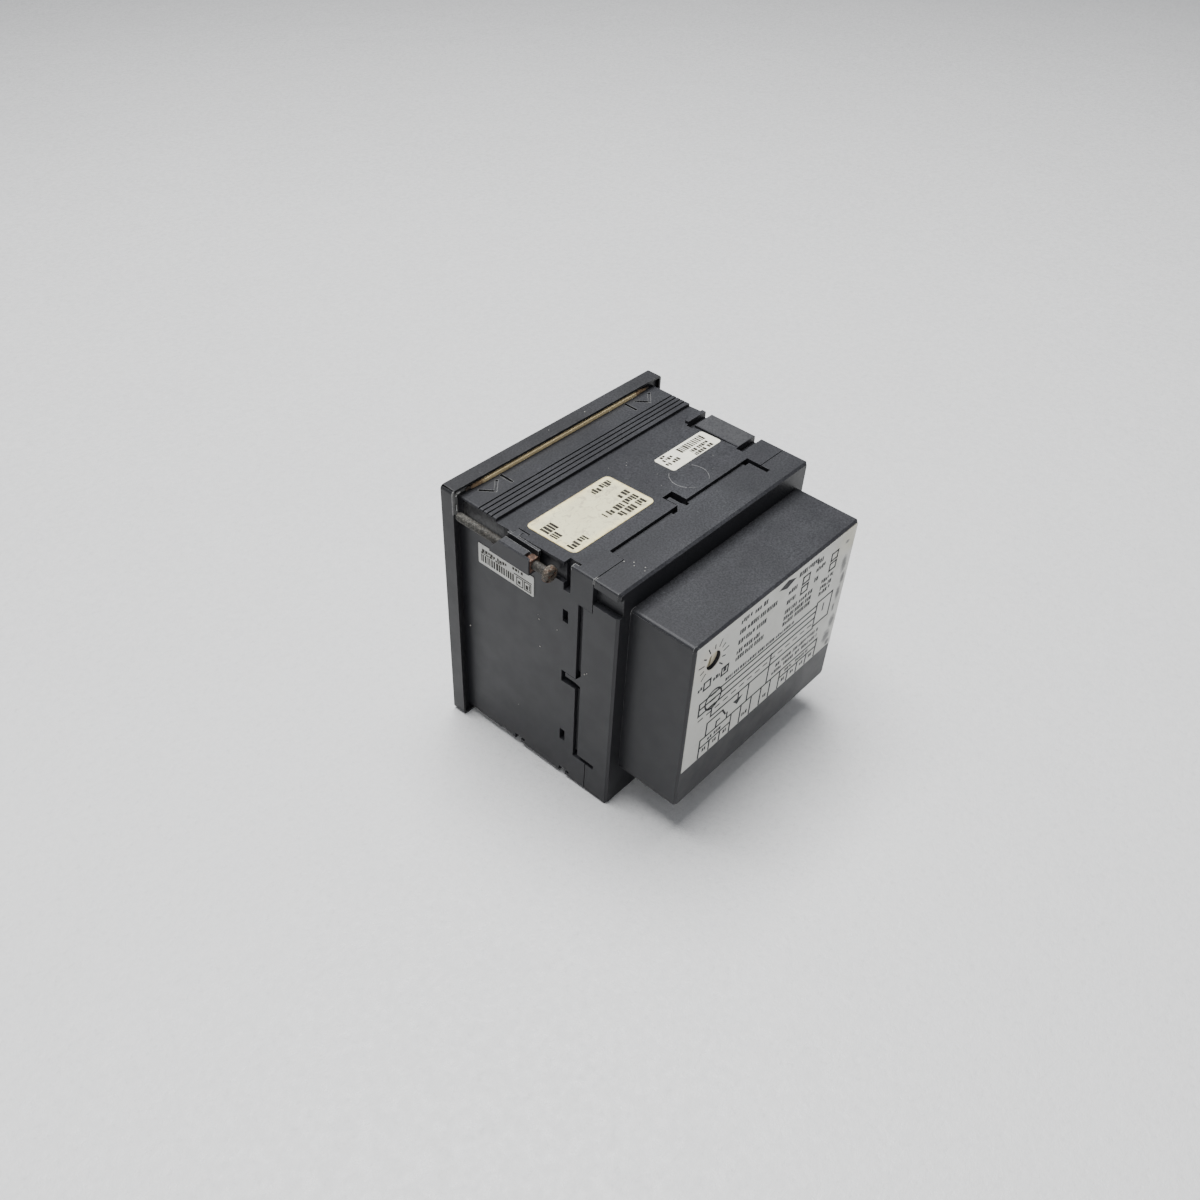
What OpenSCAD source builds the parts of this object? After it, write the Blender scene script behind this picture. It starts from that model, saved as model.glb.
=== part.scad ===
// Square panel instrument: insulation monitor with pointer movement, relay electronics and corner clamps.
// Millimetres. X across, Z up, Y from the panel plane to the rear; the dial looks to -Y.
// The origin is the centre of the panel plane, where the bezel's rear rim meets the panel.

/* [Bezel] */
// Outer width and height of the front frame
bezel_size = 96; // [95:0.5:99]
// Depth of the frame in front of the panel plane
bezel_depth = 5.2; // [4.8:0.1:6.5]
// Radius of the frame's outer corners
bezel_corner = 1.3; // [0.8:0.1:3]
// Width of the frame seen from the front
bezel_face = 7; // [6:0.5:9]
// Thickness of the lip in front of the window pane
bezel_lip = 0.8; // [0.6:0.1:1.2]
// Width of the rim that rests on the panel
rim_width = 0.8; // [0.5:0.1:1.1]
// Depth of the recess behind the frame, inside the rim
rim_recess = 1.2; // [0.8:0.1:1.8]
// Distance from the ends of a sealing strip to the sides of the case
gasket_short = 3; // [2:0.5:15]
// Height of a sealing strip between the case and the rim
gasket_width = 1.4; // [1:0.1:1.7]
// Height that a sealing strip stands proud of the rim
gasket_proud = 0.2; // [0.1:0.1:0.5]

/* [Window and dial] */
// Thickness of the window pane
pane_t = 1.2; // [0.8:0.1:1.4]
// Thickness of the dark mask over the pivot
shroud_t = 0.5; // [0.3:0.1:0.6]
// Radius of the dark mask over the pivot
shroud_r = 21; // [17:0.5:24]
// Thickness of the dial plate
dial_t = 0.6; // [0.4:0.1:1.2]
// Distance of the pointer's pivot from the right side and from the bottom of the case
pivot_inset = 17; // [16.6:0.1:19]
// Distance of the resting pointer's tip from the left side of the case
pointer_short = 17; // [14:0.5:25]
// Radius of the lamp in the dial
lamp_r = 1.5; // [1:0.1:2.5]

/* [Case] */
// Distance from the edge of the front frame to the side of the case
case_inset = 3; // [2.6:0.1:3.4]
// Wall thickness of the case and the cover
case_wall = 2.2; // [1.8:0.1:2.6]
// Rounding of the long edges of the case
case_edge = 0.6; // [0.4:0.1:1.6]
// Distance from the panel plane to the ledge of the cover
ledge_y = 63.3; // [60:0.5:75]
// Distance from the panel plane to the seam at the corners
seam_y = 53.6; // [53:0.2:55]
// Distance from the panel plane to the case's edge between the corners
case_lip_y = 48.4; // [48.2:0.1:49.2]
// Width of the open groove between case and cover
seam_groove = 2; // [1.2:0.1:2.2]
// Depth of that groove
seam_groove_d = 1.2; // [0.8:0.1:1.6]
// Distance from the ends of that groove to the corners
groove_inset = 12.4; // [12:0.1:14]

/* [Grip ribs and panels] */
// Number of grooves between the ribs on the top and the bottom
rib_grooves = 4; // [2:1:4]
// Distance from the panel plane to the first groove
rib_start = 8; // [7:0.2:8.4]
// Distance from groove to groove
rib_pitch = 1.8; // [1.4:0.1:1.8]
// Width of a groove
rib_groove_w = 0.55; // [0.3:0.05:0.8]
// Depth of a groove
rib_groove_d = 0.6; // [0.3:0.1:0.9]
// Depth of the step behind the last rib
panel_drop = 1.2; // [0.6:0.1:1.5]
// Distance from the panel plane to the step
panel_start = 15.2; // [15:0.1:16]

/* [Rear box] */
// Width of the ledge to the right of the rear box, seen from the rear
ledge_right = 3.3; // [2.8:0.1:4]
// Width of the ledge to the left of it
ledge_left = 5.25; // [4.4:0.05:6]
// Width of the ledge above it
ledge_top = 8.3; // [6:0.1:9]
// Width of the ledge below it
ledge_bottom = 14.4; // [12:0.1:15]
// Depth of the rear box behind the ledge
box_depth = 22.9; // [22:0.1:30]
// Wall thickness of the rear box
box_wall = 2; // [1.6:0.1:2.4]
// Rounding of the rear box
box_edge = 1.1; // [0.7:0.1:2.4]

/* [Clamps] */
// Radius of a clamp screw
screw_r = 1.5; // [1.4:0.05:1.55]
// Distance of a clamp screw's axis from the side of the case
screw_out = 2.3; // [2.2:0.05:2.8]
// Distance of a clamp screw's axis from the top of the case
screw_down = 5.2; // [5:0.1:5.4]
// Distance of a clamp screw's tip from the panel plane
screw_tip_y = 1.2; // [0.3:0.1:2]
// Length of a clamp screw without its head
screw_length = 37.2; // [36:0.1:38]
// Radius of a clamp screw's head
screw_head_r = 2.75; // [2.4:0.05:2.9]
// Depth of the slots that a clamp hooks into
hook_depth = 2.6; // [2.4:0.1:2.8]
// Length of those slots
hook_length = 10.4; // [9:0.1:10.6]

/* [Terminals] */
// Number of terminals
poles = 12; // [6:1:12]
// Distance from terminal to terminal
pole_pitch = 5.08; // [5:0.01:5.1]

/* [Electronics] */
// Thickness of the circuit boards
board_t = 1.6; // [1:0.1:2]
// Clearance between the main board and the pads inside the case
board_clear = 0.5; // [0.4:0.1:2]
// Distance of the set-point adjuster from the left side of the rear box, seen from the rear
trim_in = 9.55; // [8.6:0.05:11]
// Distance of the set-point adjuster from the top of the rear box
trim_down = 10.4; // [9:0.1:13]
// Radius of the hole over the adjuster
trim_hole_r = 3.2; // [3:0.1:3.6]
// Depth of the adjuster's face below the rear
trim_sunk = 0.95; // [0.6:0.05:1.4]

/* [Labels] */
// Thickness of the stuck-on labels
label_t = 0.15; // [0.1:0.05:0.3]

/* [Hidden] */
$fn = 48;

// Small gap between parts that seat in one another
slip = 0.1;
// Running clearance of a shaft in its bore
running = 0.05;
// Oversize that lets a cut pass its faces
past = 1;
// Thickness of the case under a pair of hook slots
pad_t = hook_depth + 1.4;

bezel_half = bezel_size / 2;
case_half = bezel_half - case_inset;
inner_half = case_half - case_wall;
open_half = bezel_half - bezel_face;
pivot_offset = case_half - pivot_inset;
pointer_length = pivot_offset + case_half - pointer_short;
groove_half = case_half - groove_inset;
screw_z = case_half - screw_down;
box_minus_x = case_half - ledge_right;
box_plus_x = case_half - ledge_left;
box_top = case_half - ledge_top;
box_bottom = case_half - ledge_bottom;
trim_x = box_plus_x - trim_in;
trim_z = box_top - trim_down;
pane_front = bezel_lip - bezel_depth;
pane_rear = pane_front + pane_t;
collar_half = open_half + 2;
pane_half = collar_half - slip;
shroud_rear = pane_rear + shroud_t;
bridge_t = 0.5;
bridge_front = shroud_rear + 0.2;
bridge_rear = bridge_front + bridge_t;
pointer_front = bridge_rear + 0.5;
pointer_t = 0.3;
dial_front = -0.2;
dial_rear = dial_front + dial_t;
dial_half = open_half - 0.2;
plate_front = dial_rear + 4.6;
plate_t = 1.2;
plate_rear = plate_front + plate_t;
plate_half = case_half - pad_t - slip;
yoke_depth = 12.8;
yoke_rear = plate_rear + yoke_depth;
yoke_out = 12.2;
yoke_in = 10;
core_r = 7.6;
core_gap = 2.2;
coil_in = 8.2;
coil_out = 9.4;
coil_t = 0.9;
coil_w = 3;
coil_front = plate_rear + 0.8;
coil_rear = yoke_rear;
staff_r = 0.6;
tip_r = 0.3;
post_r = 1.2;
post_ring = 12;
rear_bridge_front = yoke_rear + 3;
adjuster_r = 2.2;

tongue_y = case_lip_y + seam_groove;
skirt_half = 30.6;
skirt_t = 1.1;
panel_end = case_lip_y - 0.4;
rib_end = panel_start;
plate_edge = case_half - 9.4;
slot_near = 22.2;
slot_far = 42.5;
slot_w = 2.7;
toe_w = 1.8;
toe_d = 0.9;
window_y = 42.5;
window_w = 2.2;
window_len = 4.8;
channel_low = screw_z - 2.6;
channel_high = case_half - 1.4;
channel_top = case_half - rib_groove_d;
channel_d = 1.3;
window_z = [case_half - 20.1, -case_half + 18.6];

box_rear = ledge_y + box_depth;
box_mid_x = (box_plus_x - box_minus_x) / 2;
box_mid_z = (box_top - box_bottom) / 2;
box_w = box_plus_x + box_minus_x;
box_h = box_top + box_bottom;

board_half = case_half - pad_t - board_clear;
board_gap = 1.1;
board_rear = ledge_y - case_wall - board_gap;
board_front = board_rear - board_t;
boss_r = 2.3;
boss_x = board_half - boss_r - 2.6;
boss_top = (box_top + inner_half) / 2 - 1.2;
boss_bottom = boss_top - 1.7;
board_screw_r = 1.2;

trim_face = box_rear - trim_sunk;
trim_rotor_r = trim_hole_r - 0.28;
trim_disc = 2;
trim_shaft_r = 1.5;
trim_body_w = 10;
trim_body_rear = trim_face - trim_disc - 0.4;

row_w = poles * pole_pitch;
block_w = row_w + 1.6;
block_front = ledge_y + 3;
block_rear = box_rear - box_wall - 0.8;
block_h = 13;
block_low = -box_bottom;
block_top = block_low + block_h;
wire_y = block_front + 12;
screw_y = block_front + 4.6;
terminal_z = block_low + 8;

screw_x = case_half + screw_out;
head_y = screw_tip_y + screw_length;
head_t = 2;
block_y0 = 17.2;
block_y1 = 33.3;
pocket_y = 31;
plate_y0 = 21;
plate_y1 = 33.5;
hook_play = 0.32;
clamp_top = screw_z + 3.3;
clamp_low = screw_z - 2.8;
clamp_out = screw_x + 2.5;
nut_x = 1.95;
nut_z = 2.1;
nut_t = 2.4;

black = [0.16, 0.16, 0.18];
grey = [0.30, 0.31, 0.34];

// Points of a rectangle with rounded corners, centred on the origin
function round_rect(w, h, r, n = 5) = [
    for (c = [0:3], i = [0:n])
        let (a = 90 * c + 90 * i / n, sx = (c == 0 || c == 3) ? 1 : -1, sy = (c < 2) ? 1 : -1)
        [sx * (w / 2 - r) + r * cos(a), sy * (h / 2 - r) + r * sin(a)]
];

// Points of a flat spiral strip that winds outwards about the origin
function spiral(r0, r1, turns, w, n = 24) = concat(
    [for (i = [0:turns * n]) let (a = 360 * i / n, r = r0 + (r1 - r0) * i / (turns * n))
        [r * cos(a), r * sin(a)]],
    [for (i = [turns * n:-1:0]) let (a = 360 * i / n, r = r0 + w + (r1 - r0) * i / (turns * n))
        [r * cos(a), r * sin(a)]]
);

// Extrudes an outline drawn in X and Z along Y
module slab(y0, y1) {
    translate([0, y0, 0]) rotate([90, 0, 0]) mirror([0, 0, 1]) linear_extrude(height = y1 - y0) children();
}

// Extrudes an outline drawn in Y and Z along X
module span(x0, x1) {
    translate([x0, 0, 0]) rotate([90, 0, 90]) linear_extrude(height = x1 - x0) children();
}

// Extrudes an outline drawn in X and Y along Z
module rise(z0, z1) {
    translate([0, 0, z0]) linear_extrude(height = z1 - z0) children();
}

module block(x0, x1, y0, y1, z0, z1) {
    translate([x0, y0, z0]) cube([x1 - x0, y1 - y0, z1 - z0]);
}

module rod(x, z, r, y0, y1, fn = 32) {
    translate([x, y0, z]) rotate([-90, 0, 0]) cylinder(r = r, h = y1 - y0, $fn = fn);
}

module square_slab(half, r, y0, y1) {
    slab(y0, y1) polygon(round_rect(2 * half, 2 * half, r));
}

// A straight cut of width w between two points of the top face
module score(p, q, w, z0, z1) {
    d = q - p;
    translate([p[0], p[1], z0]) rotate([0, 0, atan2(d[1], d[0])])
        translate([-w / 2, -w / 2, 0]) cube([norm(d) + w, w, z1 - z0]);
}

// Children at the place of the pointer's axis
module at_pivot() {
    translate([pivot_offset, 0, -pivot_offset]) children();
}

// The four directions around the Y axis, or the two that face up and down
module both_ways() {
    for (a = [0, 180]) rotate([0, a, 0]) children();
}

// Swaps X and Z, so that a feature of the top face lands on the right-hand side
module to_side() {
    mirror([1, 0, -1]) children();
}

module bezel_frame() {
    color(black) difference() {
        square_slab(bezel_half, bezel_corner, -bezel_depth, 0);
        square_slab(open_half, 0.8, -bezel_depth - past, pane_front + past);
        square_slab(collar_half, 0.5, pane_front, past);
        square_slab(bezel_half - rim_width, bezel_corner - 0.5, -rim_recess, past);
        // bevel around the window
        translate([0, -bezel_depth - 0.01, 0]) rotate([-90, 45, 0])
            cylinder(r1 = (open_half + 0.5) * sqrt(2), r2 = open_half * sqrt(2), h = 0.5, $fn = 4);
    }
}

module front_window() {
    color([0.8, 0.85, 0.85, 0.4]) difference() {
        square_slab(pane_half, 0.5, pane_front, pane_rear);
        rod(pivot_offset, -pivot_offset, adjuster_r + running, pane_front - past, pane_rear + past);
    }
}

module gasket_strip() {
    block(gasket_short - case_half, case_half - gasket_short, -rim_recess, gasket_proud,
        case_half + slip, case_half + slip + gasket_width);
}

module gasket_top() {
    color([0.75, 0.62, 0.36]) gasket_strip();
}

module gasket_bottom() {
    color([0.75, 0.62, 0.36]) rotate([0, 180, 0]) gasket_strip();
}

module pivot_shroud() {
    color(black) difference() {
        intersection() {
            rod(pivot_offset, -pivot_offset, shroud_r, pane_rear, shroud_rear, 64);
            square_slab(open_half - slip, 0.5, pane_rear, shroud_rear);
        }
        rod(pivot_offset, -pivot_offset, adjuster_r + 0.4, pane_rear - past, shroud_rear + past);
    }
}

module zero_adjuster() {
    head_front = pane_front - 0.6;
    color(black) difference() {
        union() {
            rod(pivot_offset, -pivot_offset, adjuster_r + 0.9, head_front, pane_front - 0.02);
            rod(pivot_offset, -pivot_offset, adjuster_r, pane_front - 0.02, pane_rear + shroud_t);
        }
        at_pivot() block(-adjuster_r - 2, adjuster_r + 2, head_front - past, head_front + 0.4, -0.4, 0.4);
    }
}

module dial_plate() {
    color([0.94, 0.94, 0.91]) difference() {
        square_slab(dial_half, 0.6, dial_front, dial_rear);
        rod(pivot_offset, -pivot_offset, 3, dial_front - past, dial_rear + past);
        at_pivot() for (a = [45, 225])
            rod(post_ring * cos(a), post_ring * sin(a), post_r + 0.4, dial_front - past, dial_rear + past);
        rod(-pivot_offset - 3, -pivot_offset - 3, lamp_r + slip, dial_front - past, dial_rear + past);
    }
}

// At rest the pointer lies to the left and the coil stands upright
module pointer() {
    tail = 9;
    color([0.12, 0.12, 0.12]) at_pivot() difference() {
        union() {
            slab(pointer_front, pointer_front + pointer_t) polygon([[tail, -0.7], [tail, 0.7], [0, 0.9],
                [-pointer_length + 12, 0.6], [-pointer_length, 0.15],
                [-pointer_length, -0.15], [-pointer_length + 12, -0.6], [0, -0.9]]);
            slab(pointer_front, pointer_front + pointer_t)
                polygon([[-0.5, -tail], [0.5, -tail], [0.7, 0], [0.5, tail], [-0.5, tail], [-0.7, 0]]);
            rod(0, 0, 2.2, pointer_front, pointer_front + 0.7);
        }
        rod(0, 0, staff_r, pointer_front - past, pointer_front + 2);
    }
}

module balance_weights() {
    y0 = pointer_front + pointer_t;
    color([0.7, 0.6, 0.35]) at_pivot() {
        for (a = [0, 90, 270]) rod(7.4 * cos(a), 7.4 * sin(a), 0.9, y0, y0 + (a == 0 ? 0.9 : 0.6), 24);
    }
}

module pointer_staff() {
    color([0.75, 0.75, 0.78]) at_pivot() {
        rod(0, 0, staff_r, pointer_front, coil_front, 24);
        rod(0, 0, tip_r, bridge_front + 0.1, pointer_front, 16);
        rod(0, 0, staff_r, coil_rear, coil_rear + 1.8, 24);
        rod(0, 0, tip_r, coil_rear + 1.8, rear_bridge_front + 0.4, 16);
    }
}

module moving_coil() {
    color([0.72, 0.42, 0.22]) at_pivot() difference() {
        block(-coil_w / 2, coil_w / 2, coil_front, coil_rear, -coil_out, coil_out);
        block(-coil_w, coil_w, coil_front + coil_t, coil_rear - coil_t, -coil_in, coil_in);
    }
}

module hairspring(y) {
    at_pivot() slab(y, y + 0.5) polygon(spiral(1.1, 4.9, 3, 0.22));
}

// The stud holds the outer end of the spring to its bridge
module hairspring_front() {
    y = plate_front - 1.4;
    color([0.6, 0.5, 0.3]) union() {
        hairspring(y);
        at_pivot() block(4.7, 5.6, y, plate_front, -0.3, 0.3);
    }
}

module hairspring_rear() {
    y = yoke_rear + 1.1;
    color([0.6, 0.5, 0.3]) union() {
        hairspring(y);
        at_pivot() block(4.7, 5.6, y, rear_bridge_front, -0.3, 0.3);
    }
}

module front_bearing() {
    color([0.75, 0.6, 0.3]) at_pivot() difference() {
        rod(0, 0, 1.4, bridge_front, bridge_rear, 24);
        rod(0, 0, tip_r + running, bridge_front + 0.08, bridge_rear + past, 16);
    }
}

module rear_bearing() {
    color([0.75, 0.6, 0.3]) at_pivot() difference() {
        rod(0, 0, 1.4, rear_bridge_front - 0.6, rear_bridge_front + 2.4, 24);
        rod(0, 0, tip_r + running, rear_bridge_front - 0.6 - past, rear_bridge_front + 0.45, 16);
        block(-2, 2, rear_bridge_front + 1.9, rear_bridge_front + 3, -0.25, 0.25);
    }
}

// Bar over the pivot on two posts, clear of the pointer's sweep
module bridge_bar(y0, y1, bore_r) {
    at_pivot() difference() {
        union() {
            rotate([0, -45, 0]) block(-post_ring, post_ring, y0, y1, -1.8, 1.8);
            for (a = [45, 225]) rod(post_ring * cos(a), post_ring * sin(a), 2.2, y0, y1);
        }
        rod(0, 0, bore_r, y0 - past, y1 + past, 24);
    }
}

module front_bridge() {
    color([0.7, 0.7, 0.72]) union() {
        bridge_bar(bridge_front, bridge_rear, 1.4);
        at_pivot() for (a = [45, 225])
            rod(post_ring * cos(a), post_ring * sin(a), post_r, bridge_front + 0.2, plate_front);
    }
}

module rear_bridge() {
    color([0.7, 0.7, 0.72]) union() {
        bridge_bar(rear_bridge_front, rear_bridge_front + 1.4, 1.4);
        at_pivot() for (a = [45, 225])
            rod(post_ring * cos(a), post_ring * sin(a), post_r, yoke_rear, rear_bridge_front + 0.2);
    }
}

// Plate across the lower half of the case, with two legs that hold the core in the ring
module movement_plate() {
    legs_to = coil_rear - coil_t;
    color([0.72, 0.73, 0.75]) union() {
        difference() {
            block(-plate_half, plate_half, plate_front, plate_rear, -plate_half, -pivot_offset + 18);
            rod(pivot_offset, -pivot_offset, 2.5, plate_front - past, plate_rear + past);
        }
        at_pivot() for (a = [135, 315]) rotate([0, -a, 0])
            block(core_r + running, yoke_in - running, plate_rear - 0.2, legs_to, -0.8, 0.8);
    }
}

module yoke_ring() {
    color([0.5, 0.5, 0.52]) difference() {
        rod(pivot_offset, -pivot_offset, yoke_out, plate_rear, yoke_rear, 64);
        rod(pivot_offset, -pivot_offset, yoke_in, plate_rear - past, yoke_rear + past, 64);
    }
}

module core_magnet() {
    color([0.45, 0.45, 0.48])
        rod(pivot_offset, -pivot_offset, core_r, plate_rear + core_gap, coil_rear - coil_t - 0.5, 64);
}

module alarm_lamp() {
    x = -pivot_offset - 3;
    base = plate_front - board_t;
    color([0.75, 0.1, 0.08]) union() {
        rod(x, x, lamp_r, dial_front - 1, base);
        translate([x, dial_front - 1, x]) sphere(r = lamp_r, $fn = 32);
        rod(x, x, lamp_r + 0.4, base - 1, base);
    }
}

module lamp_board() {
    x = -pivot_offset - 3;
    color([0.1, 0.35, 0.2])
        block(x - 9, x + 9, plate_front - board_t, plate_front, x - 6, x + 6);
}

// Outline of the inside of the case in Y and Z: the walls follow the sloping panels
module cavity_outline(y0, y1) {
    low = inner_half - panel_drop;
    top = [[y0, inner_half], [panel_start - case_wall, inner_half], [panel_start - case_wall, low],
        [panel_end, inner_half], [y1, inner_half]];
    polygon(concat(top, [for (i = [len(top) - 1:-1:0]) [top[i][0], -top[i][1]]]));
}

// Ribs, step and sloping panel of one face, cut from the top
module face_relief() {
    top = case_half;
    for (i = [0:rib_grooves - 1])
        block(-case_half - past, case_half + past, rib_start + i * rib_pitch - rib_groove_w / 2,
            rib_start + i * rib_pitch + rib_groove_w / 2, top - rib_groove_d, top + past);
    span(-plate_edge, case_half + past)
        polygon([[panel_start, top + past], [panel_start, top - panel_drop], [panel_end, top],
            [panel_end, top + past]]);
    // beyond the corner plate the panel runs out to the edge
    span(-case_half - past, -plate_edge + 0.01)
        polygon([[panel_start, top + past], [panel_start, top - panel_drop],
            [slot_near - slot_w / 2, top - panel_drop * 0.8], [slot_near - slot_w / 2, top + past]]);
    mark = case_half - 9.3;
    for (s = [-1, 1]) {
        score([mark * s + 3, 1.8], [mark * s, 5.4], 0.85, top - 0.8, top + past);
        score([mark * s, 5.4], [mark * s - 4, 1.8], 0.85, top - 0.5, top + past);
        score([s * (mark - 6.9), 0.9], [s * (mark - 6.9), 5.2], 1, top - 0.8, top + past);
    }
}

// A clamp's slot: open at the case's edge, with a toe to the rear at its bottom
module hook_slot(y) {
    rise(case_half - hook_length, case_half + past) polygon([
        [case_half + past, y], [case_half + past, y + slot_w], [case_half - hook_depth + toe_d, y + slot_w],
        [case_half - hook_depth + toe_d, y + slot_w + toe_w], [case_half - hook_depth, y + slot_w + toe_w],
        [case_half - hook_depth, y]]);
}

// Both slots of the side, and turned a quarter for the top
module clamp_seats() {
    for (a = [0, -90]) rotate([0, a, 0]) for (y = [slot_near, slot_far]) hook_slot(y);
}

// Thicker wall behind a pair of slots
module clamp_pads() {
    for (a = [0, -90]) rotate([0, a, 0])
        block(case_half - pad_t, inner_half + 0.2, 0, slot_far + slot_w + toe_w + 1.2,
            case_half - hook_length - 1.2, inner_half + 0.2);
}

module clamp_channel() {
    block(case_half - channel_d, case_half + past, rim_recess, slot_far + 0.1, channel_low, channel_high);
    block(case_half - channel_d, case_half + past, rim_recess, rib_end - 0.6, channel_high - 0.01, channel_top);
}

// The cover's snap finger reaches into this notch of the case's edge
module finger_notch() {
    z0 = inner_half - 2;
    rise(z0, case_half + past) polygon([[-2.2, 42.6], [2.4, 42.6], [2.4, case_lip_y + past],
        [-2, case_lip_y + past], [-2.2, 43.9]]);
}

// Everything of one face that is removed from the case between the corners
module case_edge_cut() {
    block(-groove_half, groove_half, case_lip_y, seam_y + past, inner_half - 2, case_half + past);
    finger_notch();
}

module front_case() {
    color(grey) difference() {
        union() {
            square_slab(collar_half - slip, 0.5, pane_rear, -rim_recess + 0.01);
            difference() {
                square_slab(case_half, case_edge, -rim_recess, seam_y);
                span(-inner_half, inner_half) cavity_outline(dial_rear, seam_y + past);
                both_ways() face_relief();
                both_ways() case_edge_cut();
                to_side() both_ways() case_edge_cut();
            }
            both_ways() clamp_pads();
            // ledges that carry the movement plate
            for (s = [0, 1]) mirror([s, 0, 0])
                block(pivot_offset + yoke_out + 0.2, inner_half + 0.2, plate_rear, plate_rear + 2,
                    -inner_half + panel_drop + 0.2, -pivot_offset + 18);
            // corner stops behind the dial
            for (x = [-1, 1], z = [-1, 1]) translate([x * (inner_half - 3), 0, z * (inner_half - 3)])
                block(-3.2, 3.2, dial_rear, dial_rear + 2.8, -3.2, 3.2);
        }
        square_slab(open_half, 0.6, pane_rear - past, dial_rear + 0.01);
        both_ways() {
            clamp_seats();
            clamp_channel();
        }
        // windows for the cover's latches
        both_ways() for (z = window_z)
            block(inner_half - pad_t, case_half + past, window_y, window_y + window_w,
                z - window_len / 2, z + window_len / 2);
    }
}

// Tongue between the corners, with the snap finger and the skirt that closes the groove from inside
module cover_tongue() {
    block(-groove_half + slip, groove_half - slip, tongue_y, seam_y + 0.2, inner_half, case_half);
    // floor of the groove on both sides of the snap finger
    for (x = [[-groove_half + 2.2, -2.4], [5.2, groove_half - slip]])
        block(x[0], x[1], case_lip_y + slip, tongue_y + 0.2, inner_half - 0.1, case_half - seam_groove_d);
    rise(inner_half, case_half) polygon([[0.2, tongue_y + 0.1], [4.8, tongue_y + 0.1],
        [2.2, case_lip_y], [2.2, 44.2], [0.7, 44.2], [0.7, case_lip_y]]);
    block(-skirt_half, skirt_half, case_lip_y - 1.6, seam_y + 0.2, inner_half - skirt_t - 0.1, inner_half - 0.1);
    block(-skirt_half, skirt_half, tongue_y + 0.4, seam_y + 3, inner_half - skirt_t - 0.1, inner_half + 0.1);
}

// Fine joint line between case and cover at the corners
module corner_seam() {
    for (s = [0, 1]) mirror([s, 0, 0])
        block(groove_half, case_half + past, seam_y - past, seam_y + 0.28, case_half - 0.5, case_half + past);
}

module relief_notch() {
    block(-groove_half, -groove_half + 1.7, tongue_y - past, tongue_y + 6.8, inner_half - past, case_half + past);
}

// Latch of the cover behind a window of the case, drawn on the right-hand side
module cover_latch(z) {
    rise(z - window_len / 2 + 0.2, z + window_len / 2 - 0.2) polygon([
        [inner_half + 0.1, seam_y + 5], [inner_half + 0.1, seam_y + 0.3], [inner_half - 0.2, seam_y + 0.3],
        [inner_half - 0.2, window_y + window_w - 0.1], [inner_half + 1.2, window_y + window_w - 0.2],
        [inner_half + 1.2, window_y + 1.1], [inner_half - 0.2, window_y + 0.3],
        [inner_half - 1.6, window_y - 0.2], [inner_half - 1.6, seam_y + 5]]);
}

module rear_cover() {
    color(grey) difference() {
        union() {
            difference() {
                hull() {
                    square_slab(case_half, case_edge, seam_y + 0.02, ledge_y - 0.8);
                    square_slab(case_half - 0.7, case_edge, seam_y + 0.02, ledge_y);
                }
                square_slab(inner_half, 0.6, seam_y - past, ledge_y - case_wall);
            }
            both_ways() cover_tongue();
            to_side() both_ways() cover_tongue();
            both_ways() for (z = window_z) cover_latch(z);
            translate([box_mid_x, 0, box_mid_z]) hull() {
                slab(ledge_y - 1, box_rear - 0.7) polygon(round_rect(box_w, box_h, box_edge));
                slab(ledge_y - 1, box_rear) polygon(round_rect(box_w - 1.2, box_h - 1.2, box_edge));
            }
            for (x = [-boss_x, boss_x], z = [boss_top, -boss_bottom])
                rod(x, z, boss_r, board_rear, ledge_y - case_wall + 0.2);
            // corner behind the parking pocket
            both_ways() block(inner_half - 2.2, inner_half + 0.2, seam_y + 0.3, ledge_y - case_wall + 0.2,
                case_half - 10.4, inner_half + 0.2);
        }
        // inside of the box, open to the case
        translate([box_mid_x, 0, box_mid_z]) slab(ledge_y - case_wall - 0.01, box_rear - box_wall)
            polygon(round_rect(box_w - 2 * box_wall, box_h - 2 * box_wall, 0.6));
        both_ways() {
            relief_notch();
            corner_seam();
        }
        to_side() both_ways() {
            relief_notch();
            corner_seam();
        }
        // parking pocket for a clamp's hook, open to the rear
        both_ways() block(case_half - 2, case_half + past, seam_y - past, ledge_y + past,
            case_half - 9.1, case_half - 2.7);
        rod(trim_x, trim_z, trim_hole_r, box_rear - box_wall - past, box_rear + past);
        // opening under the terminals
        block(-block_w / 2 - 0.3, block_w / 2 + 0.3, block_front - 0.3, block_rear + 0.3,
            block_low - past, block_low + box_wall + past);
        for (x = [-boss_x, boss_x], z = [boss_top, -boss_bottom])
            rod(x, z, board_screw_r + 0.02, board_rear - past, board_rear + 2.2, 24);
    }
}

module main_board() {
    color([0.12, 0.38, 0.22]) difference() {
        block(-board_half, board_half, board_front, board_rear, -board_half, board_half);
        for (x = [-boss_x, boss_x], z = [boss_top, -boss_bottom])
            rod(x, z, board_screw_r + 0.3, board_front - past, board_rear + past, 24);
        for (i = [0:poles - 1])
            rod((i - (poles - 1) / 2) * pole_pitch, terminal_z, 0.9, board_front - past, board_rear + past, 16);
    }
}

module board_screws() {
    color([0.8, 0.8, 0.8]) for (x = [-boss_x, boss_x], z = [boss_top, -boss_bottom]) difference() {
        union() {
            rod(x, z, board_screw_r, board_front, board_rear + 1.9, 24);
            rod(x, z, 2.2, board_front - 1.5, board_front, 24);
        }
        translate([x, 0, z]) block(-3, 3, board_front - 2, board_front - 0.9, -0.35, 0.35);
    }
}

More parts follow.
